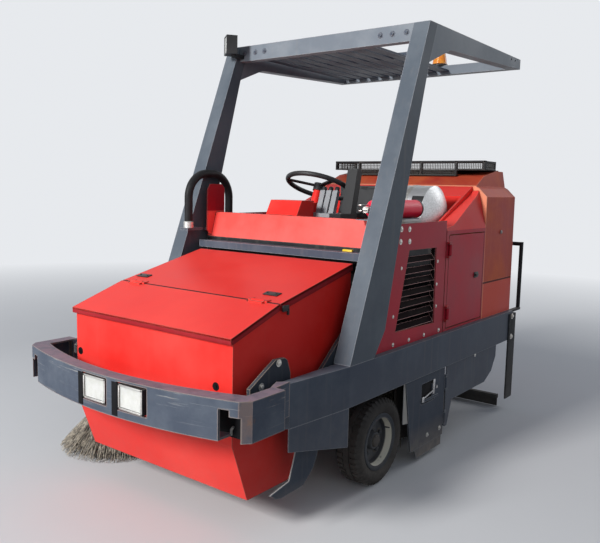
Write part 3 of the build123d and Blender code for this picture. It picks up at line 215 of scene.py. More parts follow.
def brushed_group():
    """Fine scratches along one direction, as on drawn steel and worn bright metal."""
    nodes, given, out = start_group("brushed", {"Scale": 90.0}, ("Height", "Tone"))
    lines = nodes.noise(given["Scale"], 8.0, vector=nodes.stretched((0.05, 1.0, 1.0)))
    nodes.give(out["Height"], lines)
    nodes.give(out["Tone"], nodes.ranged(lines, 0.35, 0.7))
    return nodes.tree


groups = {"edge": edge_wear_group(), "weather": weather_group(), "grain": grain_group(),
          "brushed": brushed_group()}


# Finishes


def paler(colour, by, plus=0.0):
    return tuple(min(1.0, part * by + plus) for part in colour)


def enamel(name, colour, faded, worn=BARE_STEEL, gloss=0.38, wear=0.5, dust=0.35, patch=2.2, radius=0.005,
           ground=0.55, runs=0.15, run_colour=DUST, topside=None, painted_shade_above=None):
    """Sprayed paint on steel: sun fade in patches, dust low down, and edges rubbed through. A lit-top colour paints
    light on upward faces, and a height cut-off paints shade on everything higher.
    """
    look = Look(name, gloss, specular=0.12)
    weather = look.group("weather", Patch=patch, Ground=ground)
    # Painted light: faces turned upwards take a brighter colour, as if lit from overhead.
    body = look.blend(weather["Fade"], colour, faded)
    if topside is not None:
        body = look.blend(look.ranged(look.facing()["Z"], 0.12, 0.30), body, topside)
    # Painted shade: everything higher than the given level takes a darker colour.
    if painted_shade_above is not None:
        level, painted_shade_colour = painted_shade_above
        height = look.split(look.place())["Z"]
        body = look.blend(look.ranged(height, level, level + 0.006), body, painted_shade_colour)
    edge = look.group("edge", Radius=radius, Grain=55.0, Reach=wear)["Mask"]
    look.put("Base Color", look.layered(body, (look.times(weather["Runs"], runs), run_colour),
                                        (look.times(weather["Dust"], dust), DUST), (edge, worn)))
    look.put("Roughness", look.ranged(weather["Fade"], 0.0, 1.0, gloss, gloss + 0.16))
    return look.grained(260.0, 0.06)


def scuffed_top_enamel(name, colour, faded, top_colour, height):
    """Grey enamel rubbed to primer and rust on its top flange, and scraped along its front."""
    look = Look(name, 0.55, specular=0.15)
    weather = look.group("weather", Patch=5.0, Ground=0.5)
    edge = look.group("edge", Radius=0.008, Grain=34.0, Reach=0.34)["Mask"]
    level, facing = look.split(look.place()), look.facing()
    mottle = look.noise(15.0, 9.0, 0.7)
    worn_top = look.times(look.ranged(facing["Z"], 0.5, 0.9), look.ranged(mottle, 0.36, 0.56, 0.25, 1.0))
    scrape = look.noise(1.0, 9.0, 0.62, vector=look.stretched((4.0, 4.0, 85.0)))
    scratches = look.times(look.ranged(scrape, 0.585, 0.66),
                           look.ranged(level["Z"], height - 0.085, height - 0.01, 0.25, 1.0))
    end_x = look.math("ABSOLUTE", level["X"])
    rusted = look.times(look.ranged(mottle, 0.60, 0.68, 0.0, 0.55), look.ranged(end_x, 0.50, 0.60, 0.15, 1.0))
    end_face = look.times(look.ranged(end_x, 0.612, 0.622), look.ranged(facing["Y"], -0.5, -0.8))
    bare = look.times(end_face, look.ranged(mottle, 0.34, 0.54, 0.1, 0.85))
    look.put("Base Color", look.layered(
        colour, (weather["Fade"], faded), (look.times(scratches, 0.7), (0.36, 0.36, 0.35)),
        (worn_top, top_colour), (rusted, (0.22, 0.105, 0.055)), (bare, (0.24, 0.155, 0.115)),
        (look.times(edge, 0.75), (0.33, 0.27, 0.24)), (look.times(weather["Dust"], 0.2), DUST)))
    look.put("Roughness", look.ranged(mottle, 0.3, 0.7, 0.46, 0.7))
    return look.grained(180.0, 0.12)


def moulded_tank_plastic(name):
    """Sun-bleached rotomoulded plastic: orange in broad clouds, paler below its dark seam, with painted shade towards
    the rear and a painted highlight along the front edge.
    """
    look = Look(name, specular=0.15)
    weather = look.group("weather", Patch=3.4, Ground=0.95)
    edge = look.group("edge", Radius=0.010, Grain=16.0, Reach=0.6)["Mask"]
    cloud = look.noise(2.6, 7.0, 0.6, 0.5)
    across = look.split(look.place())
    # Painted shade: the tank darkens towards its rear.
    rear = look.ranged(across["Y"], 1.44, 1.53, 0.0, 0.75)
    below_seam = look.ranged(across["Z"], TANK_SEAM_Z, TANK_SEAM_Z - 0.004, 0.0, 0.75)
    # Painted highlight: a bright band along the tank's front edge.
    painted_highlight_front_edge = look.ranged(across["Y"], TANK_FRONT_Y + 0.011, TANK_FRONT_Y + 0.006)
    off_seam = look.math("ABSOLUTE", look.math("SUBTRACT", across["Z"], TANK_SEAM_Z))
    look.put("Base Color", look.layered(
        (0.42, 0.036, 0.026), (look.ranged(cloud, 0.38, 0.60), (0.56, 0.105, 0.040)),
        (rear, (0.30, 0.030, 0.034)), (below_seam, (0.74, 0.100, 0.078)),
        (look.times(weather["Runs"], 0.18), (0.60, 0.22, 0.14)), (look.times(edge, 0.8), (0.80, 0.22, 0.13)),
        (painted_highlight_front_edge, (0.86, 0.30, 0.17)), (look.ranged(off_seam, 0.006, 0.004, 0.0, 0.9), (0.06, 0.010, 0.016))))
    look.put("Roughness", look.ranged(cloud, 0.3, 0.7, 0.42, 0.62))
    return look.grained(120.0, 0.2, distance=0.0015)


def rim_enamel(name, axle_y, lip_x):
    """Dark wheel enamel whose barrel wall has worn to cream primer just inside its lip."""
    look = Look(name, specular=0.2)
    weather = look.group("weather", Patch=8.0, Ground=0.42)
    place = look.place()
    spoke = look.vector("SUBTRACT", place, (0.0, axle_y, AXLE_Z))[0]
    reach = look.vector("LENGTH", look.vector("MULTIPLY", spoke, (0.0, 1.0, 1.0))[0])["Value"]
    from_middle = look.math("ABSOLUTE", look.split(place)["X"])
    inside_lip = look.times(look.ranged(from_middle, lip_x, lip_x - 0.002),
                            look.ranged(from_middle, lip_x - 0.036, lip_x - 0.030))
    barrel = look.times(look.ranged(reach, 0.1035, 0.1055), inside_lip)
    cream = look.times(barrel, look.ranged(look.noise(22.0, 6.0), 0.2, 0.32))
    look.put("Base Color", look.layered(
        RIM_DARK, (weather["Fade"], RIM_FADED), (cream, (0.86, 0.82, 0.68)),
        (look.times(weather["Dust"], 0.35), DUST)))
    return look.grained(260.0, 0.08)


def moulded(name, rough, colour, faded, dust, grain, patch=8.0, ground=0.4, specular=0.3, dirt=DUST, beyond=None):
    """Plastic, vinyl or rubber: faded in patches, dusty, and another colour beyond a plane of x."""
    look = Look(name, rough, specular=specular)
    weather = look.group("weather", Patch=patch, Ground=ground)
    body = look.blend(weather["Fade"], colour, faded)
    if beyond is not None:
        split_x, further_colour = beyond
        body = look.blend(look.math("GREATER_THAN", look.split(look.place())["X"], split_x), body, further_colour)
    look.put("Base Color", look.blend(look.times(weather["Dust"], dust), body, dirt))
    return look.grained(*grain)


def rubber(name, colour, dust=0.5, rough=0.78, ground=0.5):
    return moulded(name, rough, colour, paler(colour, 1.9), dust, (320.0, 0.35), 9.0, ground, 0.15,
                   dirt=(0.17, 0.15, 0.13))


def moulded_plastic(name, colour, rough=0.45):
    return moulded(name, rough, colour, paler(colour, 1.35, 0.01), 0.4, (500.0, 0.22, 0.3))


def bright_metal(name, colour=(0.55, 0.55, 0.56), rough=0.3, spots=0.12):
    """Drawn or plated metal with scratches and a few rust spots."""
    look = Look(name, rough, 0.9)
    brushed = look.group("brushed", Scale=140.0)
    spotted = look.times(look.group("weather", Patch=14.0, Ground=0.4)["Fade"], spots)
    look.put("Base Color", look.layered(colour, (brushed["Tone"], paler(colour, 0.72)), (spotted, RUST)))
    look.put("Roughness", look.ranged(brushed["Tone"], 0.0, 1.0, rough, rough + 0.2))
    return look.bumped(brushed["Height"], 0.12)


def bristle_plastic(name, root, tip):
    """Stiff bristle in many tones, dusty low down."""
    look = Look(name, 0.62)
    strand = look.noise(70.0, 4.0)
    dust = look.times(look.group("weather", Patch=12.0, Ground=0.3)["Dust"], 0.55)
    look.put("Base Color", look.layered(root, (look.ranged(strand, 0.40, 0.60), tip), (dust, (0.26, 0.23, 0.19))))
    return look.bumped(strand, 0.3)


def lens_glass(name, ribs=180.0):
    """Pressed lamp glass with fine flutes, over its reflector. Its near-white base colour is a painted highlight that
    stands in for the glass's bright glints.
    """
    look = Look(name, 0.08)
    look.put("Transmission Weight", 0.45)
    look.put("IOR", 1.47)
    haze = look.ranged(look.noise(45.0, 5.0), 0.4, 0.7)
    look.put("Base Color", look.blend(haze, (1.0, 1.0, 0.97), (0.90, 0.90, 0.84)))
    return look.bumped(look.math("ADD", look.ribs("X", ribs, 0.4), look.ribs("Z", ribs * 0.4)), 0.35)


def amber_lens(name):
    look = Look(name, 0.2)
    look.put("Transmission Weight", 0.25)
    haze = look.ranged(look.noise(40.0, 5.0), 0.35, 0.7)
    look.put("Base Color", look.blend(haze, (0.95, 0.24, 0.01), (0.98, 0.42, 0.04)))
    return look.bumped(look.ribs("Z", 70.0), 0.4)


def mirror_bowl(name):
    look = Look(name, 0.12, 1.0)
    look.put("Base Color", look.blend(look.noise(60.0, 5.0), (0.92, 0.92, 0.90), (0.80, 0.79, 0.74)))
    return look.material


RED_FADED = (0.87, 0.060, 0.048)
GREY = (0.062, 0.076, 0.104)
GREY_FADED = (0.100, 0.118, 0.148)
BLACK = (0.014, 0.014, 0.015)
RIM_DARK = (0.030, 0.036, 0.045)
RIM_FADED = (0.055, 0.062, 0.072)
RED_WEAR = {"worn": (0.30, 0.09, 0.07), "wear": 0.34, "runs": 0.05, "run_colour": (0.55, 0.12, 0.10)}
GREY_WEAR = {"gloss": 0.42, "wear": 0.42, "patch": 4.0}

finishes = {
    "red": enamel("sun-faded red enamel", (0.80, 0.026, 0.020), RED_FADED, gloss=0.36, dust=0.25, patch=1.8,
                  **RED_WEAR),
    # Painted shade: the cowl's parts higher than 1.206 m take a dark red, as if in shadow.
    "cowl_red": enamel("sun-bleached cowl enamel", (0.86, 0.085, 0.070), (0.90, 0.150, 0.130), gloss=0.40,
                       dust=0.2, painted_shade_above=(1.206, (0.36, 0.010, 0.020)), **RED_WEAR),
    # Painted shade and light: a darkened copy of the red enamel for the side panels and doors, with a brighter red
    # painted on their upward faces.
    "painted_shade_red": enamel("shaded red enamel", (0.44, 0.024, 0.044), (0.54, 0.040, 0.060),
                        worn=(0.25, 0.07, 0.06), gloss=0.34, wear=0.3, dust=0.25, patch=3.0, runs=0.12,
                        run_colour=(0.30, 0.05, 0.05), topside=RED_FADED),
    # Painted shade: the folded lips take a darker red, as if shaded under the lid's edge.
    "painted_shade_lip_red": enamel("red enamel of the folded lips", (0.30, 0.012, 0.018), (0.36, 0.020, 0.024),
                      worn=(0.25, 0.07, 0.06), gloss=0.5, wear=0.6, dust=0.1, patch=3.0, radius=0.002, runs=0.05),
    # Painted shade and highlight: near-black slats stand in for the shaded grille opening, and their pale edge colour
    # paints the light that catches the slat edges.
    "louvre": enamel("shaded louvre enamel", (0.004, 0.002, 0.002), (0.008, 0.003, 0.004),
                     worn=(0.85, 0.50, 0.46), gloss=0.9, wear=0.34, dust=0.0, patch=6.0, radius=0.0030, runs=0.0),
    "grey": enamel("worn grey enamel", GREY, GREY_FADED, worn=(0.24, 0.25, 0.27), dust=0.4, ground=0.6,
                   runs=0.12, **GREY_WEAR),
    "post_grey": enamel("post enamel", (0.092, 0.110, 0.132), (0.130, 0.150, 0.172), worn=(0.27, 0.28, 0.30),
                        dust=0.3, runs=0.1, **GREY_WEAR),
    "beam_grey": enamel("pale worn grey enamel", (0.17, 0.195, 0.225), (0.24, 0.265, 0.29),
                        worn=(0.30, 0.31, 0.32), dust=0.3, runs=0.1, **GREY_WEAR),
    "door_grey": enamel("dusty lower grey enamel", (0.050, 0.060, 0.080), (0.078, 0.090, 0.112),
                        worn=(0.24, 0.25, 0.27), gloss=0.5, wear=0.3, dust=1.3, patch=5.0, ground=0.20, runs=0.1),
    "shade_grey": enamel("dark grey enamel", (0.030, 0.036, 0.048), (0.048, 0.056, 0.070),
                         worn=(0.34, 0.27, 0.20), gloss=0.5, wear=0.4, dust=0.4, patch=5.0, ground=0.6, runs=0.1),
    "bumper": scuffed_top_enamel("scuffed bumper enamel", GREY, GREY_FADED, (0.235, 0.170, 0.205), 0.626),
    "dark": enamel("black chassis enamel", (0.016, 0.017, 0.019), (0.030, 0.031, 0.034),
                   worn=(0.12, 0.11, 0.10), gloss=0.48, wear=0.4, dust=0.7, patch=6.0),
    "iron": enamel("oily engine iron", (0.03, 0.03, 0.032), (0.05, 0.048, 0.045), gloss=0.55, wear=0.3, dust=0.5),
    "primer": enamel("worn pale plate edge", (0.42, 0.40, 0.36), (0.52, 0.50, 0.46), gloss=0.5, dust=0.3),
    "wheel": rim_enamel("dark rim enamel", 0.0, 0.590),
    "rear_wheel": rim_enamel("dark rear rim enamel", REAR_AXLE_Y, 0.056),
    "lip": enamel("dark lip enamel", RIM_DARK, RIM_FADED, worn=(0.16, 0.16, 0.15), gloss=0.55, wear=0.9,
                  dust=0.2, patch=8.0, radius=0.002, ground=0.42, runs=0.0),
    "tank": moulded_tank_plastic("sun-bleached tank plastic"),
    "tyre": rubber("dusty tyre rubber", (0.016, 0.016, 0.017), dust=0.85, ground=0.52),
    "rubber": rubber("black skirt rubber", (0.030, 0.031, 0.033), dust=0.6),
    # Painted shade: a near-black finish for sheets, strips and discs set where gaps, holes and recesses fall in
    # shade.
    "recess": rubber("deep shade", (0.004, 0.004, 0.005), dust=0.0),
    "hose": rubber("hose rubber", (0.013, 0.013, 0.014), dust=0.15, rough=0.5, ground=0.3),
    "steel": bright_metal("worn bright steel"),
    "zinc": bright_metal("zinc-plated fastener", (0.62, 0.61, 0.58), 0.34, 0.25),
    "fuel": bright_metal("brushed fuel tank", (0.62, 0.63, 0.64), 0.36, 0.05),
    "bristle": bristle_plastic("broom bristle", (0.070, 0.058, 0.044), (0.36, 0.31, 0.235)),
    "vinyl": moulded("black seat vinyl", 0.46, BLACK, paler(BLACK, 1.8), 0.5, (420.0, 0.5, 0.75), 6.0, 0.3),
    "black_plastic": moulded_plastic("black moulded plastic", BLACK),
    # The levers are grey, and the arm beside them is black
    "console": moulded("lever console plastic", 0.5, (0.26, 0.27, 0.28), (0.34, 0.35, 0.36), 0.3,
                       (500.0, 0.22, 0.3), beyond=(0.100, (0.012, 0.012, 0.013))),
    "signal_red": moulded_plastic("bright red gloss", (0.95, 0.010, 0.050), 0.4),
    "yellow": moulded_plastic("yellow moulded plastic", (0.75, 0.48, 0.02), 0.4),
    "lens": lens_glass("pressed lamp glass"),
    "amber": amber_lens("amber beacon lens"),
    "mirror": mirror_bowl("lamp reflector"),
}

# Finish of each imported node
NODE_FINISH = {node: finish for finish, nodes in {
    "red": "dash engine_cover rear_hood hopper hopper_cover hopper_lid",
    "cowl_red": "cowl",
    "painted_shade_red": "front_side_panels rear_side_panels side_door_left side_door_right",
    "grey": "side_sills guard_slats hopper_rest_beam front_skirt rear_lower_panels",
    "post_grey": "guard_posts",
    "beam_grey": "guard_frame",
    "door_grey": "hopper_side_flap broom_door_left broom_door_right",
    "shade_grey": "lift_arms",
    "bumper": "front_bumper",
    "dark": "cross_members headlamps wheel_motors steering_fork floor_deck rear_screen rear_rail arm_bearings"
            " broom_plates scrub_deck side_broom_arm",
    "louvre": "louvre_grilles",
    "wheel": "front_wheel_left front_wheel_right",
    "rear_wheel": "rear_wheel",
    "tyre": "front_tyre_left front_tyre_right rear_tyre",
    "rubber": "rear_corner_plates squeegee",
    "bristle": "main_broom scrub_brush_front scrub_brush_rear side_broom",
    "black_plastic": "work_light steering_wheel",
    "console": "lever_bank",
    "iron": "engine_block",
    "fuel": "fuel_tank",
    "signal_red": "extinguisher",
    "hose": "hose",
    "tank": "rear_tank",
    "vinyl": "seat_cushion seat_back",
    "lens": "lamp_glass",
    "amber": "beacon",
}.items() for node in nodes.split()}


# Shapes


def as_object(name, shape):
    """The shape as a new object at the origin."""
    mesh = bpy.data.meshes.new(name)
    shape.to_mesh(mesh)
    shape.free()
    made = bpy.data.objects.new(name, mesh)
    bpy.context.scene.collection.objects.link(made)
    return made


def keep(name, shape, finish, body, slot, replaces=None, fold=35.0, outward=True):
    """The shape as a piece that rides on a body, shaded smooth up to a fold."""
    bmesh.ops.remove_doubles(shape, verts=shape.verts[:], dist=1e-6)
    if outward:
        bmesh.ops.recalc_face_normals(shape, faces=shape.faces[:])
    for face in shape.faces:
        face.smooth = True
    for edge in shape.edges:
        edge.smooth = len(edge.link_faces) == 2 and edge.calc_face_angle(0.0) < math.radians(fold)
    piece = as_object(name, shape)
    for each in finish.split():
        piece.data.materials.append(finishes[each])
    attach(piece, body)
    if replaces:
        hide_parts(replaces)


def build(name, finish, body, slot, *steps, **more):
    """A piece made in steps, each a shape function and what it is given."""
    shape = bmesh.new()
    for step, *given in steps:
        step(shape, *given)
    keep(name, shape, finish, body, slot, **more)


def touching(verts, kind):
    return list({each for vert in verts for each in getattr(vert, kind)})


def round_edges(shape, edges, amount, segments=2):
    return bmesh.ops.bevel(shape, geom=edges, offset=amount, offset_type="OFFSET", segments=segments,
                           profile=0.5, affect="EDGES", clamp_overlap=True, material=-1)["faces"]


def tilted(point, angle, axis="X"):
    """A turn about an axis through a point, which becomes the origin."""
    return Matrix.Translation(point) @ Matrix.Rotation(angle, 4, axis)


def add_box(shape, corner, opposite, round_off=0.0, turn=None):
    """A block between two corners, with its edges rounded."""
    low, high = (Vector([*map(pick, corner, opposite)]) for pick in (min, max))
    place = Matrix.Translation((low + high) / 2) @ Matrix.Diagonal((*(high - low), 1.0))
    if turn is not None:
        place = turn @ place
    made = bmesh.ops.create_cube(shape, size=1.0, matrix=place)["verts"]
    if round_off > 0:
        round_edges(shape, touching(made, "link_edges"), round_off)


def add_rod(shape, start, end, radius, sides=16, end_radius=None, finish=0, round_off=0.0):
    """A round bar or cone between two points."""
    start, end = Vector(start), Vector(end)
    upright = (end - start).normalized().to_track_quat("Z", "Y").to_matrix().to_4x4()
    made = bmesh.ops.create_cone(
        shape, cap_ends=True, cap_tris=False, segments=sides, radius1=radius,
        radius2=radius if end_radius is None else end_radius, depth=(end - start).length,
        matrix=Matrix.Translation((start + end) / 2) @ upright)["verts"]
    faces = touching(made, "link_faces")
    if round_off > 0:
        rims = list({edge for face in faces if len(face.verts) > 4 for edge in face.edges})
        faces = [face for face in round_edges(shape, rims, round_off) + faces if face.is_valid]
    for face in faces:
        face.material_index = finish


def add_turned(shape, section, centre, axis, steps=48, finish=0):
    """A closed section of (along, radius) points spun about an axle through centre."""
    along = Vector(axis).normalized()
    side = along.orthogonal().normalized()
    centre = Vector(centre)
    verts = [shape.verts.new(centre + along * a + side * r) for a, r in section]
    edges = [shape.edges.new(pair) for pair in zip(verts, verts[1:] + verts[:1])]
    before = set(shape.faces)
    bmesh.ops.spin(shape, geom=verts + edges, cent=centre, axis=along, dvec=(0, 0, 0),
                   angle=2 * math.pi, steps=steps, use_merge=True, use_duplicate=False)
    made = [face for face in shape.faces if face not in before]
    for face in made:
        face.material_index = finish
    return made


def add_bolt(shape, point, direction, radius, height, washer=True, domed=False, finish=0):
    """A hexagon or domed head on a washer, standing on a surface."""
    point, out = Vector(point), Vector(direction).normalized()
    if washer:
        foot = point
        point = foot + out * 0.0016
        add_rod(shape, foot, point, radius * 1.75, 18, finish=finish)
    sides, taper, edge = (14, 0.55, 0.2) if domed else (6, 0.94, 0.08)
    add_rod(shape, point, point + out * height, radius, sides, radius * taper, finish, radius * edge)


def add_strand(shape, points, radius, sides=3):
    """A thin tapered bristle through a few points."""
    ring = None
    for index, point in enumerate(points):
        ahead = points[min(index + 1, len(points) - 1)] - points[max(index - 1, 0)]
        across = ahead.orthogonal().normalized()
        up = ahead.cross(across).normalized()
        size = radius * (1.0 - 0.35 * index / (len(points) - 1))
        now = [shape.verts.new(point + size * (across * math.cos(k * 2 * math.pi / sides)
                                               + up * math.sin(k * 2 * math.pi / sides))) for k in range(sides)]
        if ring:
            for k in range(sides):
                shape.faces.new((ring[k], ring[(k + 1) % sides], now[(k + 1) % sides], now[k]))
        else:
            shape.faces.new(now[::-1])
        ring = now
    shape.faces.new(ring)


def add_plate(shape, x, end_x, corners):
    """A plate between two planes of x with the given (y, z) corners."""
    near = shape.faces.new([shape.verts.new((x, *corner)) for corner in corners])
    grown = bmesh.ops.extrude_face_region(shape, geom=[near])["geom"]
    bmesh.ops.translate(shape, verts=[each for each in grown if isinstance(each, bmesh.types.BMVert)],
                        vec=(end_x - x, 0, 0))


def spaced(first, end, pitch):
    """Places from the first on, a pitch apart, that lie before the end."""
    while first < end:
        yield first
        first += pitch


def about_x(x, axle_y, axle_z, radius, angle):
    """A point at a radius and an angle round an axle along x."""
    return Vector((x, axle_y + radius * math.cos(angle), axle_z + radius * math.sin(angle)))


# Settings that a user may change


class SweeperSizes(bpy.types.PropertyGroup):
    tread_depth: bpy.props.FloatProperty(
        name="Tread depth", description="Depth of the tyre's grooves", default=0.007, min=0.002, max=0.012,
        unit="LENGTH")
    tread_lugs: bpy.props.IntProperty(
        name="Tread lugs", description="Shoulder lugs round a tyre", default=44, min=12, max=72)
    side_strands: bpy.props.IntProperty(
        name="Side broom strands", description="Bristle strands of the side broom", default=1500, min=200,
        max=4000)
    tuft_rows: bpy.props.IntProperty(
        name="Tuft rows", description="Spiral rows of tufts round a broom", default=14, min=6, max=30)
    wire_pitch: bpy.props.FloatProperty(
        name="Wire pitch", description="Spacing of the rear screen's wires", default=0.011, min=0.008, max=0.05,
        unit="LENGTH")
    seat_swell: bpy.props.FloatProperty(
        name="Seat swell", description="How far the seat pads may bulge", default=0.014, min=0.0, max=0.03,
        unit="LENGTH")


class SweeperColours(bpy.types.PropertyGroup):
    floor: bpy.props.FloatVectorProperty(
        name="Floor", description="Colour of the studio floor", subtype="COLOR", size=3,
        default=(0.62, 0.62, 0.62), min=0.0, max=1.0)
    backdrop: bpy.props.FloatVectorProperty(
        name="Backdrop", description="Colour behind the machine", subtype="COLOR", size=3,
        default=(0.80, 0.82, 0.85), min=0.0, max=1.0)


# Operators


class SWEEPER_OT_finishes(bpy.types.Operator):
    """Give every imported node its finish"""
    bl_idname = "sweeper.finishes"
    bl_label = "Paint the packed nodes"

    def execute(self, context):
        for name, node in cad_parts.items():
            if not node.material_slots:
                node.data.materials.append(None)
            for held in node.material_slots:
                held.material = finishes[NODE_FINISH[name]]
        return {"FINISHED"}


TYRES = (
    # node, body, inner x, width, axle y
    ("front_tyre_left", "left_front_wheel", 0.474, 0.125, 0.0),
    ("front_tyre_right", "right_front_wheel", -0.599, 0.125, 0.0),
    ("rear_tyre", "rear_road_wheel", -0.065, 0.130, REAR_AXLE_Y),
)
TYRE_R = 0.200
BEAD_R = 0.121


class SWEEPER_OT_tyres(bpy.types.Operator):
    """Tyres with shoulder lugs, centre ribs and rounded sidewalls"""
    bl_idname = "sweeper.tyres"
    bl_label = "Tyres"

    def execute(self, context):
        depth = context.scene.sweeper_sizes.tread_depth
        steps = context.scene.sweeper_sizes.tread_lugs * 2
        ground = TYRE_R - depth
        flank = [(0.014, BEAD_R), (0.010, BEAD_R + 0.010), (0.002, BEAD_R + 0.022), (0.0, TYRE_R - 0.036),
                 (0.003, TYRE_R - 0.022), (0.016, ground), (0.044, ground), (0.050, ground)]
        for node, body, x_inner, width, axle_y in TYRES:
            half = width / 2
            centre = Vector((x_inner + half, axle_y, AXLE_Z))
            section = [(inset - half, r) for inset, r in flank] + [(half - inset, r) for inset, r in flank[::-1]]
            shape = bmesh.new()
            faces = add_turned(shape, section, centre, (1, 0, 0), steps)
            lugs = []
            for face in faces:
                middle = face.calc_center_median() - centre
                reach = math.hypot(middle.y, middle.z)
                turn = int((math.atan2(middle.z, middle.y) + 2 * math.pi + 1e-4) / (2 * math.pi) * steps) % 2
                shoulder = abs(middle.x) > half - 0.045 and reach > TYRE_R - 0.032
                rib = abs(middle.x) < half - 0.052 and reach > ground - 0.002
                if (shoulder and turn == (0 if middle.x > 0 else 1)) or rib:
                    lugs.append(face)
            raised = bmesh.ops.extrude_face_region(shape, geom=lugs)["geom"]
            bmesh.ops.delete(shape, geom=lugs, context="FACES")
            for vert in (each for each in raised if isinstance(each, bmesh.types.BMVert)):
                spoke = vert.co - centre
                out = Vector((0, spoke.y, spoke.z)).normalized()
                vert.co += out * (depth * (0.35 if abs(spoke.x) > half - 0.010 else 1.0))
            keep(node.replace("tyre", "treaded_tyre"), shape, "tyre", body, "tyre", node, fold=30)
        return {"FINISHED"}


WHEELS = (
    # body, outer face x, outward sign, axle y, depth of the disc behind the face
    ("left_front_wheel", 0.599, 1, 0.0, 0.056),
    ("right_front_wheel", -0.599, -1, 0.0, 0.056),
    ("rear_road_wheel", 0.065, 1, REAR_AXLE_Y, 0.055),
    ("rear_road_wheel", -0.065, -1, REAR_AXLE_Y, None),
)
RIM_LIP = ((-0.0125, 0.1235), (-0.0125, 0.1295), (-0.009, 0.1322), (-0.0055, 0.1305), (-0.0050, 0.1265),
           (-0.0075, 0.1170), (-0.0110, 0.1115), (-0.0130, 0.1125))
HUB_CAP = ((-0.034, 0.001), (-0.020, 0.001), (-0.0205, 0.016), (-0.023, 0.025), (-0.029, 0.029), (-0.034, 0.030))


class SWEEPER_OT_wheel_trim(bpy.types.Operator):
    """Rim lips, wheel nuts, hub caps and valves"""
    bl_idname = "sweeper.wheel_trim"
    bl_label = "Wheel trim"

    def execute(self, context):
        for index, (body, face_x, sign, axle_y, dish) in enumerate(WHEELS):
            centre, out = Vector((face_x, axle_y, AXLE_Z)), (sign, 0, 0)
            steps = [(add_turned, RIM_LIP, centre, out, 64)]
            if dish is not None:
                steps += [(add_bolt, about_x(face_x - sign * dish, axle_y, AXLE_Z, 0.068,
                                             turn * 2 * math.pi / 5 + 0.3), out, 0.0105, 0.012, True, False, 1)
                          for turn in range(5)]
                steps += [(add_turned, HUB_CAP, centre, out, 32, 1),
                          (add_rod, centre + Vector((-sign * 0.045, 0.100, 0.035)),
                           centre + Vector((-sign * 0.018, 0.104, 0.037)), 0.0035, 8)]
            build(f"wheel_trim_{index}", "lip dark", body, "wheel_paint", *steps)
        return {"FINISHED"}


BROOM_ROLLS = (
    # node, body, half length, axle y, axle z, core radius, tip radius, strand radius, shaft radius, its reach
    ("main_broom", "main_broom", 0.500, 0.430, 0.162, 0.070, 0.160, 0.0021, 0.018, 0.040),
    ("scrub_brush_front", "front_scrub_brush", 0.460, 0.685, 0.082, 0.042, 0.080, 0.0017, 0.015, 0.030),
    ("scrub_brush_rear", "rear_scrub_brush", 0.460, 0.852, 0.082, 0.042, 0.080, 0.0017, 0.015, 0.030),
)
TUFT_PITCH = 0.021


class SWEEPER_OT_broom_rolls(bpy.types.Operator):
    """Cylindrical brooms: a core tube with bristle tufts in spiral rows"""
    bl_idname = "sweeper.broom_rolls"
    bl_label = "Cylindrical brooms"

    def execute(self, context):
        rows = context.scene.sweeper_sizes.tuft_rows
        for node, body, half, y, z, core, tip, strand, shaft, reach in BROOM_ROLLS:
            chance = random.Random(7)
            shape = bmesh.new()
            add_rod(shape, (-half, y, z), (half, y, z), core, 32, finish=1, round_off=0.004)
            add_rod(shape, (-half - reach, y, z), (half + reach, y, z), shaft, 20, finish=1)
            for row in range(rows):
                for spot in range(int((2 * half - 0.02) / TUFT_PITCH)):
                    x = -half + 0.012 + spot * TUFT_PITCH
                    angle = row * 2 * math.pi / rows + 0.9 * x / half
                    for _ in range(3):
                        lean = angle + chance.uniform(-0.06, 0.06)
                        slide = x + chance.uniform(-0.006, 0.006)
                        end = tip * chance.uniform(0.965, 0.999)
                        add_strand(shape, [about_x(x, y, z, core, angle), about_x(slide, y, z, end, lean)], strand)
            keep(node + "_bristles", shape, "bristle dark", body, "bristle", node)
        return {"FINISHED"}


SIDE_BROOM_PLATE = ((0.190, 0.0155), (0.190, 0.108), (0.194, 0.119), (0.203, 0.1195), (0.2065, 0.116),
                    (0.2065, 0.052), (0.214, 0.046), (0.214, 0.0155))


def in_side_broom(radius, angle, z):
    """A point at a radius and an angle round the side broom's upright axle."""
    return Vector((-0.715, -0.440, 0.0)) + Vector((radius * math.cos(angle), radius * math.sin(angle), z))


class SWEEPER_OT_side_broom(bpy.types.Operator):
    """Side broom: a grey hub plate and long splayed bristles"""
    bl_idname = "sweeper.side_broom"
    bl_label = "Side broom"

    def execute(self, context):
        chance = random.Random(11)
        shape = bmesh.new()
        add_turned(shape, SIDE_BROOM_PLATE, in_side_broom(0.0, 0.0, 0.0), (0, 0, 1), 48, finish=1)
        for turn in range(6):
            add_bolt(shape, in_side_broom(0.082, turn * math.pi / 3, 0.2065), (0, 0, 1), 0.007, 0.005, finish=2)
        for _ in range(context.scene.sweeper_sizes.side_strands):
            angle = chance.uniform(0, 2 * math.pi)
            inner = chance.uniform(0.070, 0.112)
            outer = 0.165 + 0.128 * chance.random() ** 0.55
            drift = angle + chance.gauss(0, 0.07)
            end_z = 0.0042 + (0.02 * chance.random() if outer < 0.28 else 0.006 * chance.random())
            waist_r = inner + (outer - inner) * 0.38
            knee_r = inner + (outer - inner) * 0.76
            points = [in_side_broom(inner, angle, 0.192), in_side_broom(waist_r, angle, 0.130),
                      in_side_broom(knee_r, (angle + drift) / 2, 0.058), in_side_broom(outer, drift, end_z)]
            add_strand(shape, points, 0.0016 + 0.0009 * chance.random())
        keep("side_broom_bristles", shape, "bristle grey zinc", "side_broom", "bristle", "side_broom")
        return {"FINISHED"}


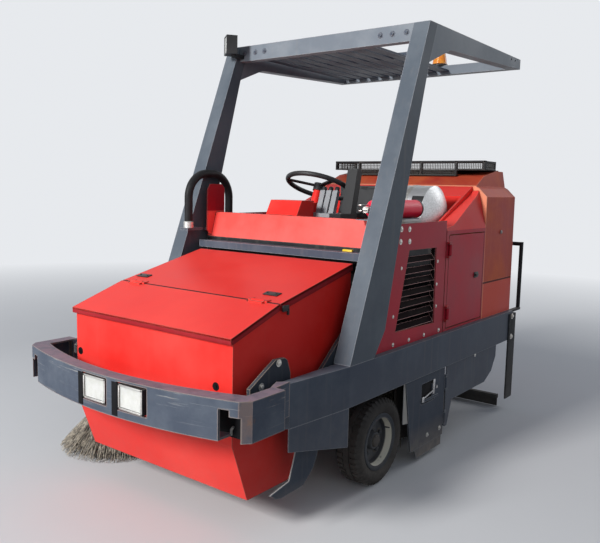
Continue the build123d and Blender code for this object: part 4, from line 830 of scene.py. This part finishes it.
DRAIN_CAP = ((-0.004, 0.001), (-0.004, 0.040), (0.012, 0.043), (0.024, 0.040), (0.026, 0.030), (0.034, 0.028),
             (0.034, 0.001))
TANK_PLUG = ((0.0, 0.001), (0.0, 0.011), (0.004, 0.011), (0.006, 0.008), (0.006, 0.001))


class SWEEPER_OT_tank_fittings(bpy.types.Operator):
    """Drain cap and side plugs of the rear tank"""
    bl_idname = "sweeper.tank_fittings"
    bl_label = "Solution tank fittings"

    def execute(self, context):
        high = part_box("rear_tank")[1]
        build("tank_fittings", "black_plastic primer", "chassis", "black_rubber",
              (add_turned, DRAIN_CAP, (0.36, high.y, 0.70), (0, 1, 0), 32),
              *((add_turned, TANK_PLUG, (sign * high.x, 1.318, 1.106), (sign, 0, 0), 20, 1) for sign in SIDES))
        return {"FINISHED"}


SCREEN_NARROW = 0.345
SCREEN_STEP_Z = 1.462
SCREEN_UPRIGHT = 0.025
SCREEN_BAR = 0.012
TRAY_HALF = 0.500
SIDE_SCREEN_REAR_Y = 1.410
WIRE_R = 0.0022
WIRE_OVER = 0.0026


def add_wires(shape, starts_and_ends):
    for start, end in starts_and_ends:
        add_rod(shape, start, end, WIRE_R, 4)


def add_mesh_panel(shape, y, x_low, x_high, z_low, z_high, pitch):
    """Woven wire between four edges, upright wires in front of level ones."""
    add_wires(shape, (((x, y, z_low), (x, y, z_high)) for x in spaced(x_low + pitch / 2, x_high, pitch)))
    add_wires(shape, (((x_low, y + WIRE_OVER, z), (x_high, y + WIRE_OVER, z))
                      for z in spaced(z_low + pitch / 2, z_high, pitch)))


class SWEEPER_OT_rear_screen(bpy.types.Operator):
    """Rear screen: a stepped frame of angle with woven wire, and the tray behind it"""
    bl_idname = "sweeper.rear_screen"
    bl_label = "Rear wire screen"

    def execute(self, context):
        pitch = context.scene.sweeper_sizes.wire_pitch
        low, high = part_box("rear_screen")
        near, far = low.y, low.y + SCREEN_UPRIGHT
        middle = (near + far) / 2
        bar, step_z, rear = SCREEN_BAR, SCREEN_STEP_Z, SIDE_SCREEN_REAR_Y
        boxes = [((low.x, near, high.z - bar), (high.x, far, high.z), 0.002),
                 ((-SCREEN_NARROW, near, low.z), (SCREEN_NARROW, far, low.z + 0.006), 0.001),
                 ((-TRAY_HALF, far - 0.002, step_z + 0.0003), (TRAY_HALF, high.y, step_z + 0.005), 0.001)]
        boxes += [((x, near, step_z), (x + bar, far, high.z), 0.002) for x in (low.x, high.x - bar)]
        boxes += [((x, near, low.z), (x + bar, far, high.z), 0.002)
                  for x in (-SCREEN_NARROW, -0.115, 0.115 - bar, SCREEN_NARROW - bar)]
        shape = bmesh.new()
        for sign in SIDES:
            inner, outer = sign * (TRAY_HALF - 0.010), sign * TRAY_HALF
            boxes += [((sign * SCREEN_NARROW, near, step_z), (sign * high.x, far, step_z + 0.006), 0.001),
                      ((inner, rear - bar, step_z), (outer, rear, high.z), 0.001)]
            boxes += [((inner, far, z), (outer, rear, z + bar), 0.001) for z in (step_z + 0.0003, high.z - bar)]
            x = (inner + outer) / 2
            add_wires(shape, (((x, y, step_z + 0.003), (x, y, high.z - 0.004))
                              for y in spaced(far + pitch / 2, rear - bar, pitch)))
            add_wires(shape, (((x + WIRE_OVER, far, z), (x + WIRE_OVER, rear - 0.004, z))
                              for z in spaced(step_z + pitch, high.z - bar, pitch)))
        for box in boxes:
            add_box(shape, *box)
        add_mesh_panel(shape, middle, low.x + 0.004, high.x - 0.004, step_z + 0.003, high.z - 0.004, pitch)
        add_mesh_panel(shape, middle, -SCREEN_NARROW + 0.004, SCREEN_NARROW - 0.004, low.z + 0.003,
                       step_z + 0.003, pitch)
        keep("woven_rear_screen", shape, "dark", "chassis", "dark_paint", "rear_screen")
        return {"FINISHED"}


PADS = (
    # name, node, how far the top leans back
    ("seat_pad", "seat_cushion", 0.0),
    ("back_pad", "seat_back", 0.035),
)
PAD_INSET = Vector((0.012, 0.012, 0.012))
PAD_VOXEL = 0.006
PAD_PRESSURE = 4.0
CLOTH_FRAMES = 20


def swell_up(pad, most):
    """Move the pad's points by cloth pressure, none further than the most."""
    scene = bpy.context.scene
    start = [vert.co.copy() for vert in pad.data.vertices]
    cloth = pad.modifiers.new("pad pressure", "CLOTH")
    cloth.settings.effector_weights.gravity = 0.0
    cloth.settings.use_pressure = True
    cloth.settings.uniform_pressure_force = PAD_PRESSURE
    cloth.settings.quality = 4
    for step in range(1, CLOTH_FRAMES + 1):
        scene.frame_set(step)
    shown = pad.evaluated_get(bpy.context.evaluated_depsgraph_get())
    ends = [vert.co.copy() for vert in shown.data.vertices]
    pad.modifiers.remove(cloth)
    scene.frame_set(1)
    for vert, before, after in zip(pad.data.vertices, start, ends):
        move = after - before
        if move.length > most:
            move = move.normalized() * most
        vert.co = before + move


def puffed(name, low, high, lean, swell):
    """A closed pad swollen by cloth pressure from a slightly smaller block, then made smooth."""
    shape = bmesh.new()
    size = high - low
    verts = bmesh.ops.create_cube(
        shape, size=1.0, matrix=Matrix.Translation((low + high) / 2) @ Matrix.Diagonal((*size, 1)))["verts"]
    for vert in verts:
        vert.co.y += lean * ((vert.co.z - low.z) / size.z)
    round_edges(shape, touching(verts, "link_edges"), 0.020, 3)
    pad = as_object(name, shape)
    bpy.context.view_layer.objects.active = pad
    pad.select_set(True)
    remesh = pad.modifiers.new("even mesh", "REMESH")
    remesh.mode = "VOXEL"
    remesh.voxel_size = PAD_VOXEL
    bpy.ops.object.modifier_apply(modifier=remesh.name)
    swell_up(pad, swell)
    smooth = pad.modifiers.new("round", "SUBSURF")
    smooth.levels = 1
    smooth.render_levels = 1
    bpy.ops.object.modifier_apply(modifier=smooth.name)
    for polygon in pad.data.polygons:
        polygon.use_smooth = True
    pad.select_set(False)
    return pad


class SWEEPER_OT_seat(bpy.types.Operator):
    """Seat pads swollen by cloth pressure"""
    bl_idname = "sweeper.seat"
    bl_label = "Seat pads"

    def execute(self, context):
        swell = context.scene.sweeper_sizes.seat_swell
        for name, node, lean in PADS:
            low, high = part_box(node)
            high = Vector((high.x, high.y - lean, high.z))
            pad = puffed(name, low + PAD_INSET, high - PAD_INSET, lean, swell)
            pad.data.materials.append(finishes["vinyl"])
            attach(pad, "chassis")
            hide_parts(node)
        return {"FINISHED"}


LAMP_W = 0.135
LAMP_RIM = 0.008


class SWEEPER_OT_headlamps(bpy.types.Operator):
    """Headlamp bezels and bowls behind the pressed glass"""
    bl_idname = "sweeper.headlamps"
    bl_label = "Headlamps"

    def execute(self, context):
        low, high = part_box("headlamps")
        half_w, half_h = LAMP_W / 2, LAMP_W * 0.356
        middle_z = high.z - half_h
        bars = (((-half_w, -half_h), (half_w, -half_h + LAMP_RIM)), ((-half_w, half_h - LAMP_RIM), (half_w, half_h)),
                ((-half_w, -half_h), (-half_w + LAMP_RIM, half_h)), ((half_w - LAMP_RIM, -half_h), (half_w, half_h)))
        shape = bmesh.new()
        for x in (low.x + half_w, high.x - half_w):
            for start, end in bars:
                add_box(shape, (x + start[0], low.y - 0.0015, middle_z + start[1]),
                        (x + end[0], low.y + 0.004, middle_z + end[1]), 0.0012)
            bowl = bmesh.ops.create_cone(
                shape, cap_ends=True, cap_tris=False, segments=4, radius1=0.074, radius2=0.030, depth=0.011,
                matrix=Matrix.Translation((x, low.y + 0.0156, middle_z)) @ Matrix.Diagonal((1.05, 1, 0.76, 1))
                @ Matrix.Rotation(math.radians(-90), 4, "X") @ Matrix.Rotation(math.radians(45), 4, "Z"))["verts"]
            for face in touching(bowl, "link_faces"):
                face.material_index = 1
                if face.normal.y < -0.9 and face.calc_area() > 0.006:
                    shape.faces.remove(face)
        keep("headlamp_bezels", shape, "zinc mirror", "chassis", "wheel_paint", outward=False)
        return {"FINISHED"}


BEACON_BASE = ((0.0, 0.001), (0.0, 0.049), (0.010, 0.050), (0.014, 0.047), (0.014, 0.001))
BEACON_RIBS = 9


class SWEEPER_OT_beacon(bpy.types.Operator):
    """Beacon: a black base and a ribbed amber dome"""
    bl_idname = "sweeper.beacon"
    bl_label = "Beacon"

    def execute(self, context):
        centre = Vector((0.120, 1.365, 2.100))
        dome = [(0.0141, 0.001), (0.0141, 0.0445)]
        for rib in range(BEACON_RIBS):
            z = 0.018 + rib * 0.0075
            dome += [(z, 0.0445 - rib * 0.0012), (z + 0.0030, 0.0430 - rib * 0.0012)]
        dome += [(0.086, 0.028), (0.0905, 0.014), (0.0915, 0.001)]
        build("ribbed_beacon", "amber black_plastic", "chassis", "beacon_glass",
              (add_turned, BEACON_BASE, centre, (0, 0, 1), 40, 1), (add_turned, dome, centre, (0, 0, 1), 40),
              replaces="beacon", fold=50)
        return {"FINISHED"}


HOPPER_HALF = 0.475
LIP = 0.0035
LID_SLOPE = math.atan2(0.8925 - 0.800, -0.600 + 0.869)
COVER_SLOPE = math.atan2(1.013 - 0.893, -0.093 + 0.595)


def side_lips(turn, length, depth):
    """The lips folded down along both sides of a sloped lid."""
    return [(add_box, (sign * (HOPPER_HALF - LIP), 0.001, -depth), (sign * HOPPER_HALF, length, -0.0005), 0.001, turn)
            for sign in SIDES]


class SWEEPER_OT_hopper_trim(bpy.types.Operator):
    """Folded lips darkened as painted shade, a painted shadow strip over the lid's gap, catches, and flat discs and
    bolts in painted shade on the hopper and its lid
    """
    bl_idname = "sweeper.hopper_trim"
    bl_label = "Hopper trim"

    def execute(self, context):
        half = HOPPER_HALF
        # The lips' dark red is painted shade.
        build("lid_lips", "painted_shade_lip_red", "lid", "red_paint",
              (add_box, (-half, -0.869, 0.776), (half, -0.8655, 0.7995), 0.001),
              *side_lips(tilted((0, -0.869, 0.800), LID_SLOPE), 0.282, 0.026))
        build("cover_lips", "painted_shade_lip_red", "hopper", "red_paint",
              *side_lips(tilted((0, -0.595, 0.893), COVER_SLOPE), 0.514, 0.030))
        catches = []
        for x in (-0.452, 0.332):
            turn = tilted((x, -0.520, 0.893 + 0.075 * math.tan(COVER_SLOPE)), COVER_SLOPE)
            out = turn.to_3x3() @ Vector((0, 0, 1))
            catches.append((add_box, (0, -0.014, 0.0002), (0.075, 0.020, 0.0045), 0.0015, turn))
            catches += [(add_bolt, turn @ Vector((dx, 0.003, 0.0045)), out, 0.0045, 0.003, False)
                        for dx in (0.014, 0.061)]
        for sign in SIDES:
            catches += [(add_box, (sign * 0.476, -0.586, 0.862), (sign * 0.484, -0.548, 0.886), 0.0015),
                        (add_box, (sign * 0.476, -0.556, 0.846), (sign * 0.484, -0.546, 0.872), 0.0015)]
        build("catch_plates", "black_plastic", "hopper", "dark_paint", *catches)
        # Painted shadow: a near-black strip laid over the gap between lid and cover.
        build("lid_seal", "recess", "hopper", "dark_paint",
              (add_box, (-half + 0.004, -0.0035, -0.006), (half - 0.004, 0.0035, 0.0012), 0.0,
               tilted((0, -0.597, 0.8925), LID_SLOPE)))
        # Painted shade: flat near-black discs stand in for shaded holes in the hopper's front, and the side bolts
        # take the same near-black finish.
        painted_shade_holes = [(add_rod, (x, start, 0.606), (x, end, 0.606), radius, sides) for x in (-0.444, 0.385)
                 for start, end, radius, sides in ((-0.8518, -0.8535, 0.016, 24), (-0.8530, -0.8570, 0.007, 6))]
        build("hopper_bolts", "recess", "hopper", "dark_paint", *painted_shade_holes,
              *((add_bolt, (sign * 0.530, -0.640, 0.520), (sign, 0, 0), 0.017, 0.010) for sign in SIDES))
        return {"FINISHED"}


PANEL_BOLTS = (
    # y, z and head radius on the front side panel
    (0.126, 1.163, 0.0075), (0.201, 1.161, 0.0075), (0.122, 1.106, 0.0075), (0.206, 1.104, 0.0075),
    (0.139, 0.984, 0.0045), (0.078, 0.767, 0.0045), (0.504, 0.990, 0.0045), (0.502, 0.876, 0.0045),
    (0.507, 0.764, 0.0045), (0.548, 0.635, 0.0060), (0.388, 0.635, 0.0055), (0.236, 0.635, 0.0055),
    (0.086, 0.636, 0.0055),
)
SIDE_BOLTS = (
    # x, y, z, radius, height and whether domed
    *((0.590, y, z, radius, radius * 0.6, True) for y, z, radius in PANEL_BOLTS),
    (0.628, 1.478, 0.585, 0.010, 0.007, False), (0.628, 1.478, 0.458, 0.010, 0.007, False),
    (0.6118, 0.429, 0.119, 0.007, 0.005, False), (0.6118, 0.564, 0.119, 0.007, 0.005, False),
    (0.612, 0.978, 0.432, 0.007, 0.004, True),
)


class SWEEPER_OT_fasteners(bpy.types.Operator):
    """Bolts of the side panels, guard, corner plates and lift arms"""
    bl_idname = "sweeper.fasteners"
    bl_label = "Fasteners"

    def execute(self, context):
        bolts = [(add_bolt, (sign * x, y, z), (sign, 0, 0), radius, height, True, domed)
                 for sign in SIDES for x, y, z, radius, height, domed in SIDE_BOLTS]
        bolts += [(add_bolt, (sign * 0.575, y, 0.6165 + 0.006), (sign, 0, 0), 0.008, 0.005, False)
                  for sign in SIDES for y in (-0.240, -0.170)]
        build("panel_bolts", "zinc", "chassis", "wheel_paint", *bolts)
        front_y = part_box("guard_frame")[0].y
        build("guard_bolts", "grey", "chassis", "grey_paint",
              *((add_bolt, (sign * x, front_y + 0.001, 2.062), (0, -1, 0), 0.009, 0.006)
                for sign in SIDES for x in (0.360, 0.425, 0.500)))
        build("arm_plate_bolts", "zinc", "arms", "wheel_paint",
              *((add_bolt, (sign * 0.530, y, z), (sign, 0, 0), 0.0085, 0.007)
                for sign in SIDES for y, z in ((-0.665, 0.684), (-0.764, 0.613))))
        return {"FINISHED"}


BUMPER_FRONT_Y = -1.075
BUMPER_R = 2.0576
FLAP_X = 0.555
FLAP_EDGE = ((-0.585, 0.420), (-0.585, 0.314), (-0.621, 0.210), (-0.733, 0.190))
WORN_CORNER = ((0.178, 0.440), (0.186, 0.440), (0.2285, 0.228), (0.178, 0.236))


class SWEEPER_OT_front_details(bpy.types.Operator):
    """Painted shade behind the bumper's end slots and beside the lamps, worn plate edges and the plug over the rest
    beam
    """
    bl_idname = "sweeper.front_details"
    bl_label = "Front details"

    def execute(self, context):
        low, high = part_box("headlamps")
        # Painted shade: near-black sheets fill the shaded backs of the bumper's end slots and the gaps beside the
        # lamps.
        plates = [(add_box, (sign * 0.478, -0.9270, 0.470), (sign * 0.612, -0.9240, 0.604), 0.0005)
                  for sign in SIDES]
        for x, degrees in ((low.x - 0.021, -3.7), (high.x - LAMP_W - 0.021, 2.2)):
            bend = BUMPER_FRONT_Y + BUMPER_R - math.sqrt(BUMPER_R ** 2 - x ** 2)
            plates.append((add_box, (-0.015, -0.0014, low.z - 0.003), (0.0165, 0.002, high.z + 0.003), 0.0004,
                           tilted((x, bend, 0), math.radians(degrees), "Z")))
        build("slot_plates", "recess", "chassis", "dark_paint", *plates)
        edges = []
        for sign in SIDES:
            flap_x, hook_x = sign * FLAP_X, sign * 0.540
            edges += [(add_box, (sign * 0.6105, -0.3040, 0.270), (sign * 0.6135, -0.3000, 0.436), 0.0008),
                      (add_plate, sign * 0.6050, sign * 0.6080, WORN_CORNER),
                      (add_rod, (hook_x, -0.9330, 0.480), (hook_x, -0.9330, 0.500), 0.0050, 10),
                      (add_rod, (hook_x, -0.9330, 0.498), (hook_x + sign * 0.010, -0.9330, 0.512), 0.0045, 10)]
            edges += [(add_rod, (flap_x, *start), (flap_x, *end), 0.0028, 6)
                      for start, end in zip(FLAP_EDGE, FLAP_EDGE[1:])]
        build("worn_plate_edges", "primer", "chassis", "grey_paint", *edges)
        build("rest_beam_plug", "yellow", "chassis", "black_rubber",
              (add_box, (0.372, -0.026, 1.040), (0.424, -0.006, 1.066), 0.003))
        return {"FINISHED"}


FUEL_CENTRE = Vector((0.0, 0.760, 1.215))
FUEL_CAP = ((0.146, 0.001), (0.146, 0.030), (0.166, 0.033), (0.172, 0.029), (0.174, 0.001))
FERRULE = ((0.0, 0.0215), (0.0, 0.0255), (0.030, 0.0255), (0.034, 0.0215))


def band(start, end, inner, outer):
    """The section of a flat band round an axle."""
    return ((start, inner), (start, outer), (end, outer), (end, inner))


class SWEEPER_OT_fittings(bpy.types.Operator):
    """Fuel tank straps and cap, extinguisher valve, hose clips and lever knobs"""
    bl_idname = "sweeper.fittings"
    bl_label = "Fittings"

    def execute(self, context):
        build("fuel_tank_straps", "zinc", "chassis", "wheel_paint",
              *((add_turned, band(x, x + 0.022, 0.1503, 0.1525), FUEL_CENTRE, (1, 0, 0), 56) for x in (0.228, 0.312)))
        build("fuel_tank_cap", "black_plastic", "chassis", "black_rubber",
              (add_box, (0.362, -0.1520, -0.025), (0.428, -0.1480, 0.025), 0.001,
               tilted(FUEL_CENTRE, math.radians(-29))),
              (add_turned, FUEL_CAP, FUEL_CENTRE + Vector((0.260, 0, 0)), (0, 1, 1), 28))
        low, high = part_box("extinguisher")
        radius = (high.x - low.x) / 2
        body = Vector(((low.x + high.x) / 2, 0.040, (low.z + high.z) / 2))
        shoulder = ((-0.0005, radius - 0.001), (-0.018, radius - 0.008), (-0.032, 0.022), (-0.0445, 0.0145),
                    (-0.0445, 0.001), (-0.0005, 0.001))
        build("extinguisher_shoulder", "signal_red", "chassis", "extinguisher_red",
              (add_turned, shoulder, body, (0, 1, 0), 36))
        near_x, far_x = body.x - 0.008, body.x + 0.008
        build("extinguisher_valve", "zinc", "chassis", "wheel_paint",
              (add_rod, body + Vector((0, -0.044, 0)), body + Vector((0, -0.070, 0)), 0.015, 18),
              (add_box, (near_x, -0.078, body.z + 0.018), (far_x, -0.012, body.z + 0.024), 0.002),
              (add_box, (near_x, -0.076, body.z - 0.006), (far_x, -0.028, body.z - 0.001), 0.002),
              (add_turned, band(0.060, 0.072, radius + 0.0002, radius + 0.0018), body, (0, 1, 0), 36))
        build("extinguisher_foot", "black_plastic", "chassis", "black_rubber",
              (add_turned, band(0.385, 0.3955, radius + 0.0003, radius + 0.0016), body, (0, 1, 0), 36))
        build("hose_ferrules", "zinc", "chassis", "wheel_paint",
              *((add_turned, FERRULE, (-0.505, y, z), (0, 0, 1), 28) for y, z in ((-0.150, 1.122), (0.150, 1.115))))
        build("lever_knobs", "black_plastic", "chassis", "black_rubber",
              *((add_rod, (x, 0.361, 1.318), (x, 0.372, 1.346), 0.0135, 16, 0.012, 0, 0.004)
                for x in (-0.015, 0.025, 0.065)))
        return {"FINISHED"}


def turned_about(y, z, degrees):
    """A turn on the spot about a line along x."""
    return tilted((0, y, z), math.radians(degrees)) @ Matrix.Translation((0, -y, -z))


class SWEEPER_OT_latches(bpy.types.Operator):
    """Door latches: a bright paddle over a recess plate in painted shade on each broom door, and a black latch on
    each engine door
    """
    bl_idname = "sweeper.latches"
    bl_label = "Door latches"

    def execute(self, context):
        for side, sign in (("left", 1), ("right", -1)):

            def plate(x, end_x, start, end, round_off, turn=None):
                return add_box, (sign * x, *start), (sign * end_x, *end), round_off, turn

            build(f"broom_door_latch_{side}", "steel", f"{side}_broom_door", "wheel_paint",
                  plate(0.6120, 0.6185, (0.352, 0.303), (0.372, 0.330), 0.002),
                  plate(0.6120, 0.6185, (0.368, 0.318), (0.470, 0.325), 0.0015, turned_about(0.368, 0.318, 11)),
                  plate(0.6120, 0.6185, (0.464, 0.322), (0.482, 0.398), 0.003, turned_about(0.473, 0.322, -4)),
                  (add_rod, (sign * 0.6120, 0.506, 0.352), (sign * 0.6180, 0.506, 0.352), 0.008, 14))
            # Painted shade: a near-black plate fills the shaded recess behind each broom-door latch.
            build(f"latch_plate_{side}", "recess", f"{side}_broom_door", "dark_paint",
                  plate(0.6055, 0.6075, (0.354, 0.296), (0.486, 0.392), 0.0008))
            build(f"side_door_latch_{side}", "black_plastic", f"{side}_side_door", "dark_paint",
                  plate(0.5905, 0.594, (0.955, 0.866), (1.008, 0.898), 0.0015),
                  plate(0.594, 0.601, (0.962, 0.876), (1.000, 0.888), 0.002))
        return {"FINISHED"}


FLOOR_BOUNCE = 0.35
FLOOR_FADE_START = 3.2
FLOOR_FADE_END = 9.0
LAMPS = (
    # name, place, aim, power, size
    ("key", (-1.6, -8.6, 5.2), (0.0, 0.0, 0.8), 1010.0, 2.0),
    ("low", (-1.8, -6.5, 0.9), (0.0, -0.6, 0.4), 90.0, 2.4),
    ("fill", (5.6, -4.2, 3.2), (0.0, 0.2, 0.8), 55.0, 5.0),
    ("rear", (3.0, 7.0, 5.0), (0.0, 0.6, 1.0), 120.0, 4.0),
)


def seen_directly(nodes):
    """One for rays from the camera, from a gloss or through a lens, nought for the light that falls."""
    path = nodes.add("ShaderNodeLightPath")
    either = nodes.math("MAXIMUM", path["Is Camera Ray"], path["Is Glossy Ray"])
    return nodes.math("MAXIMUM", either, path["Is Transmission Ray"])


class SWEEPER_OT_stage(bpy.types.Operator):
    """Floor, backdrop, lamps and the camera"""
    bl_idname = "sweeper.stage"
    bl_label = "Studio"

    def execute(self, context):
        scene = context.scene
        floor_colour = tuple(scene.sweeper_colours.floor)
        backdrop = {"Color": tuple(scene.sweeper_colours.backdrop), "Strength": 1.0}
        shape = bmesh.new()
        bmesh.ops.create_grid(shape, x_segments=1, y_segments=1, size=40.0)
        floor = as_object("studio_floor", shape)
        look = Look("pale floor", 0.85)
        pale = look.blend(look.noise(1.4, 4.0), floor_colour, paler(floor_colour, 1.06))
        look.put("Base Color", look.blend(seen_directly(look), paler(floor_colour, FLOOR_BOUNCE), pale))
        away = look.ranged(look.vector("LENGTH", look.place())["Value"], FLOOR_FADE_START, FLOOR_FADE_END)
        mix = look.add("ShaderNodeMixShader", {0: look.times(away, seen_directly(look)), 1: look.shader.outputs[0],
                                               2: look.add("ShaderNodeEmission", backdrop)[0]})
        look.give(look.tree.nodes["Material Output"].inputs["Surface"], mix[0])
        floor.data.materials.append(look.material)

        scene.world = bpy.data.worlds.new("studio")
        scene.world.use_nodes = True
        nodes = Nodes(scene.world.node_tree)
        nodes.tree.nodes.clear()
        sky = nodes.add("ShaderNodeBackground", {"Color": (0.64, 0.77, 1.0), "Strength": 0.22})[0]
        seen = nodes.add("ShaderNodeBackground", backdrop)[0]
        mix = nodes.add("ShaderNodeMixShader", {0: seen_directly(nodes), 1: sky, 2: seen})
        nodes.add("ShaderNodeOutputWorld", {"Surface": mix[0]})

        for name, place, aim, power, size in LAMPS:
            data = bpy.data.lights.new(name, "AREA")
            data.energy = power
            data.size = size
            lamp = bpy.data.objects.new(name, data)
            scene.collection.objects.link(lamp)
            lamp.location = place
            lamp.rotation_euler = (Vector(aim) - Vector(place)).to_track_quat("-Z", "Y").to_euler()

        data = bpy.data.cameras.new("photo camera")
        data.lens = 41.506
        data.sensor_width = 36.0
        data.clip_start = 0.05
        camera = bpy.data.objects.new("photo camera", data)
        camera.location = (2.1325, -2.6403, 1.3430)
        camera.rotation_euler = tuple(math.radians(angle) for angle in (83.0408, -1.2399, 37.5691))
        scene.collection.objects.link(camera)
        scene.camera = camera
        scene.view_settings.view_transform = "Standard"
        return {"FINISHED"}


BUILD_ORDER = (
    SWEEPER_OT_stage, SWEEPER_OT_finishes, SWEEPER_OT_tyres, SWEEPER_OT_wheel_trim, SWEEPER_OT_broom_rolls,
    SWEEPER_OT_side_broom, SWEEPER_OT_tank_fittings, SWEEPER_OT_rear_screen, SWEEPER_OT_seat,
    SWEEPER_OT_headlamps, SWEEPER_OT_beacon, SWEEPER_OT_hopper_trim, SWEEPER_OT_fasteners,
    SWEEPER_OT_front_details, SWEEPER_OT_fittings, SWEEPER_OT_latches,
)


class SWEEPER_PT_build(bpy.types.Panel):
    """The steps that build the machine's looks"""
    bl_idname = "SWEEPER_PT_build"
    bl_label = "Sweeper-scrubber"
    bl_space_type = "VIEW_3D"
    bl_region_type = "UI"
    bl_category = "Sweeper"

    def draw(self, context):
        for settings in (context.scene.sweeper_sizes, context.scene.sweeper_colours):
            for name in settings.bl_rna.properties.keys():
                if name not in ("rna_type", "name"):
                    self.layout.prop(settings, name)
        for step in BUILD_ORDER:
            self.layout.operator(step.bl_idname)


CLASSES = (SweeperSizes, SweeperColours, *BUILD_ORDER, SWEEPER_PT_build)


def register():
    for each in CLASSES:
        bpy.utils.register_class(each)
    bpy.types.Scene.sweeper_sizes = bpy.props.PointerProperty(type=SweeperSizes)
    bpy.types.Scene.sweeper_colours = bpy.props.PointerProperty(type=SweeperColours)


def unregister():
    del bpy.types.Scene.sweeper_colours
    del bpy.types.Scene.sweeper_sizes
    for each in reversed(CLASSES):
        bpy.utils.unregister_class(each)


def main():
    register()
    for step in BUILD_ORDER:
        family, name = step.bl_idname.split(".")
        getattr(getattr(bpy.ops, family), name)()


if __name__ == "__main__":
    main()
